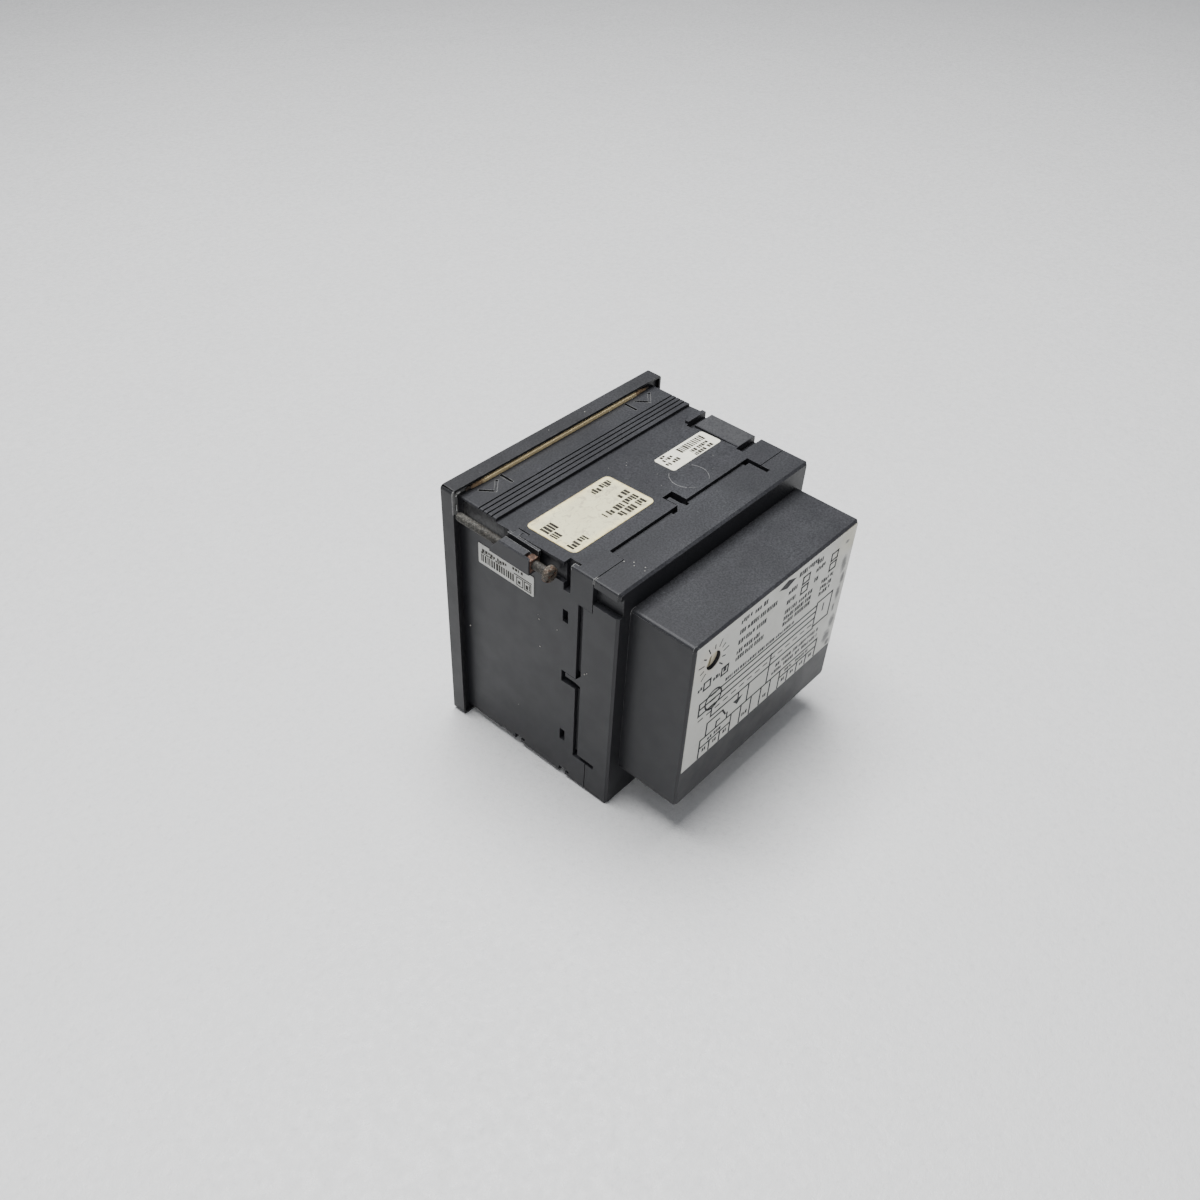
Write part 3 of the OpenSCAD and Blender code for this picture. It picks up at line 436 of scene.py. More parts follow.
def lamp_lens(name):
    """Red translucent lamp."""
    web = Web(name, (0.55, 0.02, 0.015), 0.12)
    web.set("Transmission Weight", 0.35)
    web.set("Coat Weight", 0.5)
    web.feed("Base Color", web.mix(web.noise(1.5 * MM, 2), (0.5, 0.015, 0.01), (0.62, 0.04, 0.02)))
    return web.mat


def circuit_board(name):
    """Green board with small lighter fields of copper under its lacquer."""
    web = Web(name, (0.03, 0.13, 0.06), 0.35)
    track = web.ramp(web.cells(2.2 * MM, web.stretched(1, 1, 2.5)), 0.25, 0.3)
    web.feed("Base Color", web.mix(track, (0.05, 0.20, 0.09), (0.02, 0.11, 0.05)))
    return web.mat


def floor_sheet(name):
    """Pale floor: fine cells, faint cloudy tone."""
    web = Web(name, (0.70, 0.70, 0.70), 0.5)
    tone = web.mix(web.noise(160 * MM, 4, 0.55), (0.76, 0.765, 0.77), (0.82, 0.825, 0.825))
    cell = web.noise(2.0 * MM, 4, 0.75)
    tone = web.mix(web.ramp(cell, 0.40, 0.62, 0.0, 0.45), tone, (0.86, 0.86, 0.86))
    web.feed("Base Color", web.mix(web.ramp(cell, 0.42, 0.30, 0.0, 0.3), tone, (0.58, 0.58, 0.58)))
    web.feed("Roughness", web.ramp(web.noise(3 * MM, 4), 0.3, 0.7, 0.30, 0.6))
    small = web.bump(cell, 0.45 * MM, 0.7)
    web.feed("Normal", web.bump(web.noise(45 * MM, 3), 2.2 * MM, 0.5, small))
    return web.mat


# Where the plastics are worn or dusty, and where painted highlights and glints stand for light: lowest and
# highest corner in millimetres, strength, whole surface
# Corner edges of the case and of the rear box: wear, and a painted highlight along the lit edges
CASE_EDGE_WEAR_AND_HIGHLIGHT = ((43.5, 44.0, 43.5), (46.0, 64.0, 46.0), 0.75, False)
BOX_EDGE_WEAR_AND_HIGHLIGHT = ((38.0, 63.5, 35.0), (41.0, 87.0, 38.5), 0.9, False)
# Top edge of the clamp's plate: a painted highlight along its lit edge, with some wear
PLATE_EDGE_WEAR_AND_HIGHLIGHT = ((44.5, 15.0, 43.0), (47.0, 34.0, 45.5), 0.35, False)
# Rims of the marks in the top: painted highlights on their lit rims, with some wear
MARKS_WEAR_AND_HIGHLIGHT = ((-41.0, 0.2, 44.0), (41.0, 6.0, 45.5), 0.30, False)
# Corner plate on the top: rubbed, and painted paler for the light it catches
PLATE_RUBBED_AND_PAINTED_LIGHT = ((-45.5, 25.2, 44.3), (-36.2, 42.2, 45.5), 0.09, True)
# Rear rim of the frame: a painted glint along its edge
RIM_PAINTED_GLINT = ((47.25, -0.3, 39.6), (47.95, 0.3, 47.9), 0.75, True)
RECESS_DUSTY = ((41.0, -1.35, 36.5), (47.3, -1.05, 47.3), 0.75, True)
CHANNEL_DUSTY = ((41.0, -1.3, 36.8), (44.75, 17.0, 43.3), 0.22, True)
MATERIALS = {
    "bezel_frame": moulded_plastic("bezel_black", (0.012, 0.012, 0.0135), 0.42, 0.11, 0.35,
                                   (0.20, 0.20, 0.20), (RIM_PAINTED_GLINT, RECESS_DUSTY)),
    "front_case": moulded_plastic("case_grey", (0.0135, 0.0138, 0.0165), 0.43, 0.125, 0.25,
                                  bright=(CASE_EDGE_WEAR_AND_HIGHLIGHT, MARKS_WEAR_AND_HIGHLIGHT, PLATE_RUBBED_AND_PAINTED_LIGHT, CHANNEL_DUSTY)),
    "rear_cover": moulded_plastic("cover_grey", (0.0125, 0.0128, 0.0152), 0.42, 0.13, 0.35,
                                  bright=(CASE_EDGE_WEAR_AND_HIGHLIGHT, BOX_EDGE_WEAR_AND_HIGHLIGHT)),
    "clamp_body_right": moulded_plastic("clamp_plastic", (0.016, 0.016, 0.0185), 0.46, 0.18, 0.45,
                                        bright=(PLATE_EDGE_WEAR_AND_HIGHLIGHT,)),
    "pivot_shroud": plain_plastic("shroud_black", (0.012, 0.012, 0.012), 0.6),
    "zero_adjuster": plain_plastic("adjuster_black", (0.02, 0.02, 0.02), 0.35),
    "front_window": clear_pane("window_clear"),
    "dial_plate": plain_plastic("dial_white", (0.80, 0.80, 0.77), 0.6, 0.03),
    "pointer": plain_metal("pointer_black", (0.02, 0.02, 0.02), 0.5, metal=0.0),
    "balance_weights": plain_metal("brass_turned", (0.62, 0.46, 0.20), 0.3),
    "pointer_staff": plain_metal("staff_steel", (0.6, 0.6, 0.62), 0.25),
    "moving_coil": plain_metal("coil_copper", (0.55, 0.24, 0.10), 0.35, 0.15 * MM, 0.8),
    "hairspring_front": plain_metal("spring_bronze", (0.6, 0.42, 0.2), 0.3),
    "front_bridge": plain_metal("movement_alu", (0.66, 0.67, 0.69), 0.35),
    "yoke_ring": plain_metal("yoke_iron", (0.45, 0.45, 0.47), 0.4),
    "core_magnet": plain_metal("magnet_dark", (0.22, 0.22, 0.24), 0.5),
    "alarm_lamp": lamp_lens("lamp_red"),
    "main_board": circuit_board("board_green"),
    "board_screws": plain_metal("screw_zinc", (0.62, 0.62, 0.60), 0.3),
    "transformer_core": plain_metal("core_steel", (0.28, 0.28, 0.29), 0.5),
    "transformer_coil": plain_plastic("coil_tape", (0.62, 0.5, 0.2), 0.4),
    "output_relay": plain_plastic("relay_blue", (0.05, 0.12, 0.32), 0.3),
    "filter_capacitor": plain_plastic("cap_sleeve", (0.03, 0.04, 0.14), 0.3),
    "logic_chips": plain_plastic("chip_black", (0.015, 0.015, 0.015), 0.5),
    "trimmer_body": plain_plastic("trimmer_blue", (0.04, 0.1, 0.3), 0.35),
    "trimmer_rotor": plain_metal("rotor_brass", (0.70, 0.64, 0.48), 0.42, metal=0.25),
    "terminal_block": moulded_plastic("terminal_black", (0.018, 0.018, 0.020), 0.5, 0.15, 0.2),
    "terminal_cages": plain_metal("cage_metal", (0.6, 0.57, 0.5), 0.35),
    "clamp_nut_right": rusty_steel("nut_rusty", (0.10, 0.065, 0.05), (0.16, 0.065, 0.04), 0.9,
                                   (0.43, 0.28, 0.205), 0.40),
    "rear_label": rear_film("label_silver"),
    "side_label": film_label("label_side", (0.56, 0.56, 0.53), (0.38, 0.37, 0.34), 0.4),
    "type_label": film_label("label_cream", (0.95, 0.87, 0.50), (0.72, 0.58, 0.32), 0.6, "type_label"),
    "top_label": film_label("label_white", (0.88, 0.87, 0.74), (0.6, 0.58, 0.54), 0.3),
}
# Nodes that take the material of another node
SHARED = {
    "clamp_body_left": "clamp_body_right",
    "clamp_nut_left": "clamp_nut_right",
    "front_bearing": "balance_weights",
    "rear_bearing": "balance_weights",
    "hairspring_rear": "hairspring_front",
    "rear_bridge": "front_bridge",
    "movement_plate": "front_bridge",
    "lamp_board": "main_board",
    "terminal_screws": "board_screws",
    "small_capacitors": "filter_capacitor",
}


def piece(name, mesh, material, body):
    """A new object of the scene that rides on a body."""
    obj = bpy.data.objects.new(name, mesh)
    bpy.context.collection.objects.link(obj)
    mesh.materials.append(material)
    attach(obj, body)
    return obj


def finished(bm, name, smooth=False):
    """Turns a bmesh into a mesh whose faces all look outwards."""
    bmesh.ops.recalc_face_normals(bm, faces=bm.faces)
    mesh = bpy.data.meshes.new(name)
    bm.to_mesh(mesh)
    bm.free()
    for face in mesh.polygons:
        face.use_smooth = smooth
    return mesh


def add_prism(bm, outline, lay, low, high):
    """A flat shape of label points, raised from low to high above the label by the function lay."""
    bottom = [bm.verts.new(lay(a, b, low)) for a, b in outline]
    top = [bm.verts.new(lay(a, b, high)) for a, b in outline]
    bm.faces.new(top)
    bm.faces.new(bottom[::-1])
    count = len(outline)
    for i in range(count):
        j = (i + 1) % count
        bm.faces.new((bottom[i], bottom[j], top[j], top[i]))


# Width of a printed line, in millimetres
LINE_W = 0.72
# Rows of marks in place of print, in millimetres: length and gap of a group, width and gap of a mark
GROUP_LENGTH = (2.4, 6.0)
GROUP_GAP = (0.45, 0.8)
MARK_WIDTH = (0.6, 1.15)
MARK_GAP = (0.22, 0.34)
MARK_TALLER = 1.25
# Share of marks that stand on the line; the others hang from its top
STANDING = 0.6
BAR_WIDTHS = (0.45, 0.65, 0.9)
BAR_GAPS = (0.24, 0.32, 0.45)


class Print:
    """Ink on one label: plain bars, lines, frames and rings, in millimetres of the label's plane."""

    def __init__(self, lay):
        self.bm = bmesh.new()
        self.lay = lay

    def shape(self, points):
        """A flat shape with the given outline."""
        add_prism(self.bm, points, self.lay, -INK_T, INK_T)

    def bar(self, a0, b0, a1, b1):
        self.shape([(a0, b0), (a1, b0), (a1, b1), (a0, b1)])

    def line(self, p, q, width=LINE_W):
        """A stroke from p to q, half its width longer at each end so that corners close."""
        along = Vector((q[0] - p[0], q[1] - p[1]))
        along.normalize()
        side = Vector((-along.y, along.x)) * width / 2
        along *= width / 2
        p, q = Vector(p) - along, Vector(q) + along
        self.shape([tuple(p - side), tuple(q - side), tuple(q + side), tuple(p + side)])

    def path(self, points, width=LINE_W):
        for p, q in zip(points, points[1:]):
            self.line(p, q, width)

    def frame(self, a0, b0, a1, b1, width=LINE_W):
        self.path([(a0, b0), (a1, b0), (a1, b1), (a0, b1), (a0, b0)], width)

    def ring(self, a, b, radius, width=LINE_W, start=0, sweep=360, steps=40):
        """A ring or an arc around a, b; start and sweep are in degrees."""
        turns = [math.radians(start + sweep * i / steps) for i in range(steps + 1)]
        inner, outer = radius - width / 2, radius + width / 2
        for s, t in zip(turns, turns[1:]):
            self.shape([(a + inner * math.cos(s), b + inner * math.sin(s)),
                        (a + outer * math.cos(s), b + outer * math.sin(s)),
                        (a + outer * math.cos(t), b + outer * math.sin(t)),
                        (a + inner * math.cos(t), b + inner * math.sin(t))])

    def strokes(self, a0, a1, b, height):
        """A row of plain short marks in place of a line of print."""
        height *= MARK_TALLER
        at = a0
        while at < a1 - 0.4:
            stop = min(at + draw.uniform(*GROUP_LENGTH), a1)
            while at < stop - 0.3:
                width = min(draw.uniform(*MARK_WIDTH), stop - at)
                tall = height * draw.choice((0.75, 1.0, 1.0, 1.0))
                foot = b - height / 2 if draw.random() < STANDING else b + height / 2 - tall
                self.bar(at, foot, at + width, foot + tall)
                at += width + draw.uniform(*MARK_GAP)
            at = stop + draw.uniform(*GROUP_GAP)

    def rows(self, places):
        """Rows of marks, each from a0 to a1 at b, of a given height."""
        for place in places:
            self.strokes(*place)

    def bars(self, start, stop, low, high):
        """A plain field of upright bars."""
        while start < stop:
            width = draw.choice(BAR_WIDTHS)
            self.bar(start, low, start + width, high)
            start += width + draw.choice(BAR_GAPS)

    def done(self, name, material):
        """Ends the print as one piece of the housing."""
        return piece(name, finished(self.bm, name), material, HOUSING)


# The sloping top panel's rise, in height for each unit of depth
TOP_RISE = 1.2 / 32.8
LABEL_T = 0.17 * MM
# Depth of the recess in the frame's rear, below the panel plane
RECESS_DEPTH = 1.2 * MM


def rear_lay(u, z, h):
    """A point h above the rear label; u runs to the right as seen from the rear."""
    return Vector((-u * MM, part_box("rear_label")[1][1] + h, z * MM))


def top_height(y):
    """Outer surface of the labels on the sloping top panel, for a distance y behind the panel plane."""
    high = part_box("type_label")[1]
    return high[2] - (high[1] - y) * TOP_RISE


def top_lay(x, y, h):
    """A point h above the labels on the top."""
    return Vector((x * MM, y * MM, top_height(y * MM) + h))


def top_panel_lay(x, y, h):
    """A point h above the bare top panel."""
    return top_lay(x, y, h - LABEL_T)


def side_lay(y, z, h):
    """A point h above the label on the left side."""
    return Vector((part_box("side_label")[1][0] + h, y * MM, z * MM))


def recess_lay(x, z, h):
    """A point h behind the floor of the frame's recess."""
    return Vector((x * MM, h - RECESS_DEPTH, z * MM))


def dial_lay(x, z, h):
    """A point h in front of the dial plate."""
    return Vector((x * MM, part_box("dial_plate")[0][1] - h, z * MM))


# Ticks around the adjuster's hole: their middle in millimetres, their number, step and start in degrees,
# and the distances from the middle where they begin and end
TICKS_AT = (-30.2, 26.3)
TICKS = 11
TICK_STEP = 27
FIRST_TICK = -45
TICK_NEAR = 4.6
TICK_LONG, TICK_SHORT = 6.8, 5.9


def adjuster_ticks(p):
    """Plain ticks around the adjuster's hole."""
    u, z = TICKS_AT
    for k in range(TICKS):
        turn = math.radians(FIRST_TICK + TICK_STEP * k)
        far = TICK_SHORT if k % 2 else TICK_LONG
        c, s = math.cos(turn), math.sin(turn)
        p.line((u + TICK_NEAR * c, z + TICK_NEAR * s), (u + far * c, z + far * s), 0.45)


def rear_print():
    """Plain marks, boxes and lines on the rear label, in place of its print."""
    p = Print(rear_lay)
    adjuster_ticks(p)
    # Upper half: rows of marks, a lozenge and small boxes
    p.rows(((-18.5, -13.5, 33, 1.5), (-12, -5.5, 33, 1.5), (10, 20.5, 33, 1.5), (20, 23, 32, 1.5)))
    p.shape([(-0.5, 33.2), (4, 34.8), (8.5, 33.2), (4, 31.6)])
    for b, a1 in ((28.9, 0), (24.9, -4.5), (21, -6.5), (18.3, -4.8)):
        p.strokes(-18.5, a1, b, 1.45)
    for b in (28.9, 24.9):
        p.strokes(5.5, 10, b, 1.4)
        p.frame(13, b - 1.4, 16.4, b + 1.4)
        p.strokes(20, 25.2 if b > 26 else 22.5, b, 1.4)
        p.frame(28.4, b - 1.4, 31.8, b + 1.4)
    for b in (21, 18.4, 16):
        p.strokes(5.5, 20.2, b, 1.35)
        p.strokes(25, 31.6, b, 1.35)
    p.strokes(-36, -33.8, 17.8, 1.3)
    p.frame(-33.2, 16.2, -30.2, 19.2)
    p.strokes(-29, -25.8, 17.8, 1.3)
    p.frame(-25, 16.2, -22, 19.2)
    p.bar(-24.2, 17.2, -22.8, 18.9)
    p.strokes(-22.3, 12.6, 12.7, 1.05)
    # Middle: long lines with a ring, a dashed line and a box
    for b in (11, 8.5, 5.8):
        p.line((-34, b), (25.6, b))
    p.line((-34, 5.8), (-34, 11))
    p.ring(-27.3, 8.6, 3.8)
    for b in (10.9, 8.4, 5.8):
        p.bar(-28.7, b - 0.45, -26, b + 0.45)
    for k in range(15):
        p.line((-33.5 + 4 * k, 3.5), (-31.6 + 4 * k, 3.5), 0.55)
    p.path([(-27.3, 4.8), (-27.3, 0.9), (26, 0.9)])
    p.frame(25.8, 1.8, 34.3, 12)
    p.bar(29.6, 6.2, 30.3, 9.6)
    # Lines down to the row of boxes
    p.line((2.3, 6), (2.3, -7))
    p.line((-8.1, 0.9), (-8.1, -7))
    p.line((-13.3, 0.9), (-13.3, -1.8))
    p.shape([(-15.8, -1.8), (-13.3, -4.4), (-10.8, -1.8)])
    p.path([(-28.5, -7), (-28.5, -1.2), (-21, -1.2), (-19.2, -4.2)])
    p.path([(-23.5, -7), (-23.5, -4.2), (-22, -4.2)])
    p.line((-18.2, -7), (-18.2, -4.4))
    p.strokes(6.3, 30.5, -1.9, 1.2)
    p.strokes(4.8, 30, -4.5, 1.2)
    # Row of open boxes with a mark in each
    p.line((-31, -7), (31, -7))
    for u in (-31, -15.6, -10.5, -5.2, 0, 5, 10.2, 31):
        p.line((u, -7), (u, -14.8))
    p.line((-31, -10.7), (-15.6, -10.7))
    p.line((10.2, -10.4), (31, -10.4))
    for u in (-25.9, -20.7, 15.2, 20.5, 25.7):
        p.line((u, -10.6), (u, -14.8))
    p.rows(((-27.2, -20.5, -9, 1.1), (13, 17.5, -8.7, 1.1), (19, 26, -8.7, 1.1)))
    for u in (-28.5, -23.3, -18.2, 2.5, 12.7, 17.8, 23.1, 28.3):
        p.strokes(u - 0.8, u + 1.0, -12.6, 1.2)
    p.strokes(-9.4, -6.6, -12.4, 1.3)
    p.done("rear_label_print", ink("rear_ink"))


def label_prints():
    """Plain marks on the two labels of the top and the one of the side."""
    dark = ink("label_ink", (0.018, 0.016, 0.013), (0.05, 0.045, 0.035))
    p = Print(top_lay)
    p.rows(((6.9, 15.4, 25.8, 2.1), (6.9, 11.4, 32.9, 1.9), (6.9, 21.4, 36.3, 2.0), (6.9, 17.9, 39.4, 2.1),
            (32.4, 39.4, 39.3, 2.1), (34.4, 39.2, 28.8, 2.8), (36.6, 39.2, 32.6, 2.4)))
    p.done("type_label_print", dark)
    p = Print(top_lay)
    p.bars(-32.6, -20.8, 29.0, 31.8)
    p.rows(((-31.6, -22.6, 33.3, 1.2), (-31.6, -22.1, 35.2, 1.2), (-17.8, -11.8, 32.8, 1.3),
            (-17.0, -12.6, 30.6, 1.1), (-15.4, -12.4, 28.9, 0.9)))
    p.done("top_label_print", dark)
    p = Print(side_lay)
    p.bars(8.6, 22.4, 25.5, 28.3)
    p.rows(((9, 20.0, 29.9, 0.95), (8.6, 17.5, 28.9, 0.55), (22.0, 26.6, 30.6, 0.8)))
    p.frame(23.8, 25.2, 26.3, 28.2, 0.35)
    p.strokes(24.3, 25.9, 26.7, 1.2)
    p.frame(27.0, 25.2, 29.7, 28.2, 0.35)
    p.strokes(27.5, 29.3, 26.7, 1.7)
    p.line((22.8, 28.9), (29.8, 28.9), 0.4)
    p.done("side_label_print", dark)


def pale_corner_lines():
    """Two pale lines on the floor of the frame's recess, at its upper corner."""
    p = Print(recess_lay)
    p.line((45.6, 39.5), (45.6, 41.4), 0.38)
    p.path([(45.5, 44.75), (45.25, 45.25), (44.0, 45.4)], 0.5)
    p.done("pale_corner_lines", PALE_LINE_WHITE)


# Arcs of the scratched ring: start and sweep in degrees, radius and width in millimetres
SCRATCH_ARCS = (
    (-62, 40, 6.25, 0.16), (-20, 52, 6.35, 0.20), (38, 22, 6.2, 0.12),
    (120, 38, 6.2, 0.14), (160, 52, 6.3, 0.20), (218, 30, 6.2, 0.13),
)
SCRATCH_AT = (-12.2, 41.3)


def scratched_ring():
    """Faint broken ring, rubbed into the top of the case by something round."""
    p = Print(top_panel_lay)
    for start, sweep, radius, width in SCRATCH_ARCS:
        p.ring(*SCRATCH_AT, radius, width, start, sweep, 10)
    p.done("scratched_ring", ink("scratch_pale", (0.22, 0.22, 0.22), (0.09, 0.09, 0.09)))


# Scale of the dial: degrees of pointer travel for each plain number
DIAL_NUMBERS = ((0, "0"), (18, "20"), (36, "40"), (53, "60"), (70, "80"), (88, "100"))
# Pivot and radius of the scale, in millimetres, and its sweep in degrees
PIVOT = Vector((28.0, -28.0))
SCALE_R = 57.0
SCALE_SWEEP = 88
SCALE_STEPS = 40
# Ticks of the scale: length and width of the long ones, which come every fourth, and of the short ones
LONG_TICK = (3.4, 0.45)
SHORT_TICK = (1.8, 0.25)
ALARM_SWEEP = 18
# Size of the numbers, and how far outside the scale they stand
NUMBER_SIZE = 4.6 * MM
NUMBER_OUT = 6.2


def on_scale(degrees, radius):
    """The dial's point at that travel of the pointer and that distance from its pivot."""
    turn = math.radians(180 - degrees)
    return PIVOT.x + radius * math.cos(turn), PIVOT.y + radius * math.sin(turn)


def dial_print():
    """Scale with plain numbers and a red zone at its beginning."""
    black = ink("dial_ink", (0.02, 0.02, 0.02), (0.03, 0.03, 0.03))
    red = ink("dial_red", (0.45, 0.02, 0.015), (0.5, 0.03, 0.02))
    p = Print(dial_lay)
    p.ring(PIVOT.x, PIVOT.y, SCALE_R, 0.35, 180, -SCALE_SWEEP, 60)
    for k in range(SCALE_STEPS + 1):
        turn = SCALE_SWEEP * k / SCALE_STEPS
        length, width = SHORT_TICK if k % 4 else LONG_TICK
        p.line(on_scale(turn, SCALE_R), on_scale(turn, SCALE_R + length), width)
    p.done("dial_scale", black)
    p = Print(dial_lay)
    p.ring(PIVOT.x, PIVOT.y, SCALE_R - 1.5, 1.6, 180, -ALARM_SWEEP, 16)
    p.done("dial_alarm_zone", red)
    for turn, word in DIAL_NUMBERS:
        data = bpy.data.curves.new("dial_number_" + word, "FONT")
        data.body = word
        data.size = NUMBER_SIZE
        data.extrude = INK_T
        data.align_x = "CENTER"
        data.align_y = "CENTER"
        data.materials.append(black)
        obj = bpy.data.objects.new("dial_number_" + word, data)
        x, z = on_scale(turn, SCALE_R + NUMBER_OUT)
        upright = Matrix.Rotation(math.pi / 2, 4, "X")
        obj.matrix_world = Matrix.Translation(dial_lay(x, z, 0)) @ upright
        bpy.context.collection.objects.link(obj)
        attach(obj, HOUSING)


# Divisions of a sealing strip along its length, depth and height
STRIP_GRID = (260, 2, 5)
# The strip gets ragged at this distance from the middle, and is torn that much further on
RAGGED_FROM = 34 * MM
RAGGED_OVER = 8 * MM


def strip_point(low, high, i, j, k, seed):
    """A point of a sealing strip's grid, counted along its length, depth and height."""
    across, deep, tall = STRIP_GRID
    up = 1 if high.z > 0 else -1
    base = low.z if up > 0 else high.z
    x = low.x + (high.x - low.x) * i / across
    torn = max(0.0, abs(x) - RAGGED_FROM) / RAGGED_OVER
    wave = noise.noise(Vector((x / (1.6 * MM), seed, 0)))
    height = (high.z - low.z) * (1 - min(0.75, 0.9 * torn * (0.7 + wave)))
    back = high.y - 1.1 * MM * min(1, torn * (0.5 + abs(wave)))
    point = Vector((x, low.y + (back - low.y) * j / deep, base + up * height * k / tall))
    shift = noise.noise_vector(point / (3 * MM) + Vector((seed, 0, 0)))
    fine = noise.noise_vector(point / (0.8 * MM) + Vector((0, seed, 0)))
    if k == tall:
        point.z -= up * (0.16 * abs(shift.z) + 0.08 * abs(fine.z)) * MM
    if j == deep:
        point.y -= 0.12 * MM * abs(fine.y)
    return point


def gasket(name, node, seed):
    """The sealing strip as a slightly ragged, uneven foam, thinner and torn at its ends."""
    low, high = (Vector(v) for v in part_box(node))
    bm = bmesh.new()
    across, deep, tall = STRIP_GRID
    grid = {}
    for i in range(across + 1):
        for j in range(deep + 1):
            for k in range(tall + 1):
                if 0 < i < across and 0 < j < deep and 0 < k < tall:
                    continue
                grid[i, j, k] = bm.verts.new(strip_point(low, high, i, j, k, seed))

    def quad(*keys):
        bm.faces.new([grid[key] for key in keys])

    for i in range(across):
        for j in range(deep):
            for k in (0, tall):
                quad((i, j, k), (i + 1, j, k), (i + 1, j + 1, k), (i, j + 1, k))
        for k in range(tall):
            for j in (0, deep):
                quad((i, j, k), (i + 1, j, k), (i + 1, j, k + 1), (i, j, k + 1))
    for j in range(deep):
        for k in range(tall):
            for i in (0, across):
                quad((i, j, k), (i, j + 1, k), (i, j + 1, k + 1), (i, j, k + 1))
    obj = piece(name, finished(bm, name, True), GASKET, HOUSING)
    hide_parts(node)


THREAD_PITCH = 0.5 * MM
THREAD_DEPTH = 0.22 * MM
SCREW_R = 1.5 * MM
SCREW_HEAD_T = 2.0 * MM
# The rod's tip: length of its taper, slope, and how much narrower it gets at most
TIP_LENGTH = 0.9 * MM
TIP_SLOPE = 0.6
TIP_NARROWER = 0.5 * MM
ROD_ROUGH = 0.06 * MM
ROD_SEGMENTS = 28
ROWS_PER_TURN = 4
HEAD_SEGMENTS = 40
# Outline of the head: shares of its radius and of its thickness
HEAD_PROFILE = (
    (0.0, 0.02), (0.6, 0.02), (0.91, 0.02), (0.97, 0.1), (0.97, 0.3), (0.97, 0.5), (0.94, 0.68),
    (0.87, 0.82), (0.75, 0.90), (0.6, 0.94), (0.4, 0.97), (0.2, 0.97), (0.0, 0.97),
)
# Crust on the head: its height in millimetres, the size of its lumps, and its share above the top
CRUST = 0.09
CRUST_LUMP = 0.55 * MM
CRUST_ABOVE = 0.03
# The slot: half its width, its depth, and its turn in degrees
SLOT_HALF = 0.45 * MM
SLOT_DEEP = 1.0 * MM
SLOT_TURN = 35


def around_axis(centre, radius, turn, y):
    """A point at a radius and turn around a screw's axis, at the depth y."""
    return centre.x + radius * math.cos(turn), y, centre.z + radius * math.sin(turn)


def threaded_rod(name, centre, tip_y, head_y):
    """Shaft with a shallow thread, a tapered tip and an uneven surface."""
    bm = bmesh.new()
    rows = int((head_y - tip_y) / THREAD_PITCH * ROWS_PER_TURN)
    rings = []
    for i in range(rows + 1):
        y = tip_y + (head_y - tip_y) * i / rows
        ring = []
        for j in range(ROD_SEGMENTS):
            turn = 2 * math.pi * j / ROD_SEGMENTS
            phase = ((y - tip_y) / THREAD_PITCH - j / ROD_SEGMENTS) % 1
            depth = THREAD_DEPTH * abs(2 * phase - 1)
            taper = min(TIP_NARROWER, max(0, TIP_LENGTH - (y - tip_y)) * TIP_SLOPE)
            rough = ROD_ROUGH * noise.noise(Vector((math.cos(turn), y / MM, math.sin(turn))) * 2)
            radius = SCREW_R - depth - taper + rough
            ring.append(bm.verts.new(around_axis(centre, radius, turn, y)))
        rings.append(ring)
    for a, b in zip(rings, rings[1:]):
        for j in range(ROD_SEGMENTS):
            k = (j + 1) % ROD_SEGMENTS
            bm.faces.new((a[j], a[k], b[k], b[j]))
    bm.faces.new(rings[0])
    bm.faces.new(rings[-1][::-1])
    return finished(bm, name, True)


def crusted_head(name, centre, head_r, head_y):
    """Rounded head with a rough crust; its first and last row are single points."""
    bm = bmesh.new()
    rows = []
    for share_r, share_y in HEAD_PROFILE:
        y = head_y + SCREW_HEAD_T * share_y
        turns = [2 * math.pi * j / HEAD_SEGMENTS for j in range(HEAD_SEGMENTS if share_r else 1)]
        rows.append([bm.verts.new(around_axis(centre, head_r * share_r, turn, y)) for turn in turns])
    for a, b in zip(rows, rows[1:]):
        for j in range(HEAD_SEGMENTS):
            k = (j + 1) % HEAD_SEGMENTS
            corners = (a[j % len(a)], a[k % len(a)], b[k % len(b)], b[j % len(b)])
            bm.faces.new(list(dict.fromkeys(corners)))
    for v in bm.verts:
        crust = noise.noise_vector(v.co / CRUST_LUMP) * CRUST * MM
        v.co += Vector((crust.x, min(crust.y, CRUST_ABOVE * SCREW_HEAD_T), crust.z))
    return finished(bm, name, True)


def slot_cutter(name, centre, head_r, top_y):
    """A turned bar as long as the head is wide and more, half sunk into its top."""
    bm = bmesh.new()
    bmesh.ops.create_cube(bm, size=1.0)
    turn = Matrix.Rotation(math.radians(SLOT_TURN), 4, "Y")
    where = Matrix.Translation((centre.x, top_y, centre.z)) @ turn
    size = Matrix.Diagonal((3 * head_r, 2 * SLOT_DEEP, 2 * SLOT_HALF, 1))
    bmesh.ops.transform(bm, matrix=where @ size, verts=bm.verts)
    return finished(bm, name)


def clamp_screw(name, node, body):
    """Threaded rod with a rounded slotted head, dusty and rusting."""
    low, high = (Vector(v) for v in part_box(node))
    centre = (low + high) / 2
    head_r = (high.x - low.x) / 2
    head_y = high.y - SCREW_HEAD_T
    rod = threaded_rod(name + "_rod", centre, low.y, head_y)
    rod_obj = piece(name + "_rod", rod, SCREW_DUSTY, body)
    head = crusted_head(name + "_head", centre, head_r, head_y)
    head_obj = piece(name + "_head", head, HEAD_RUSTY, body)
    cut_away(head_obj, slot_cutter(name + "_cutter", centre, head_r, high.y))
    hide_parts(node)
    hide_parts(node)


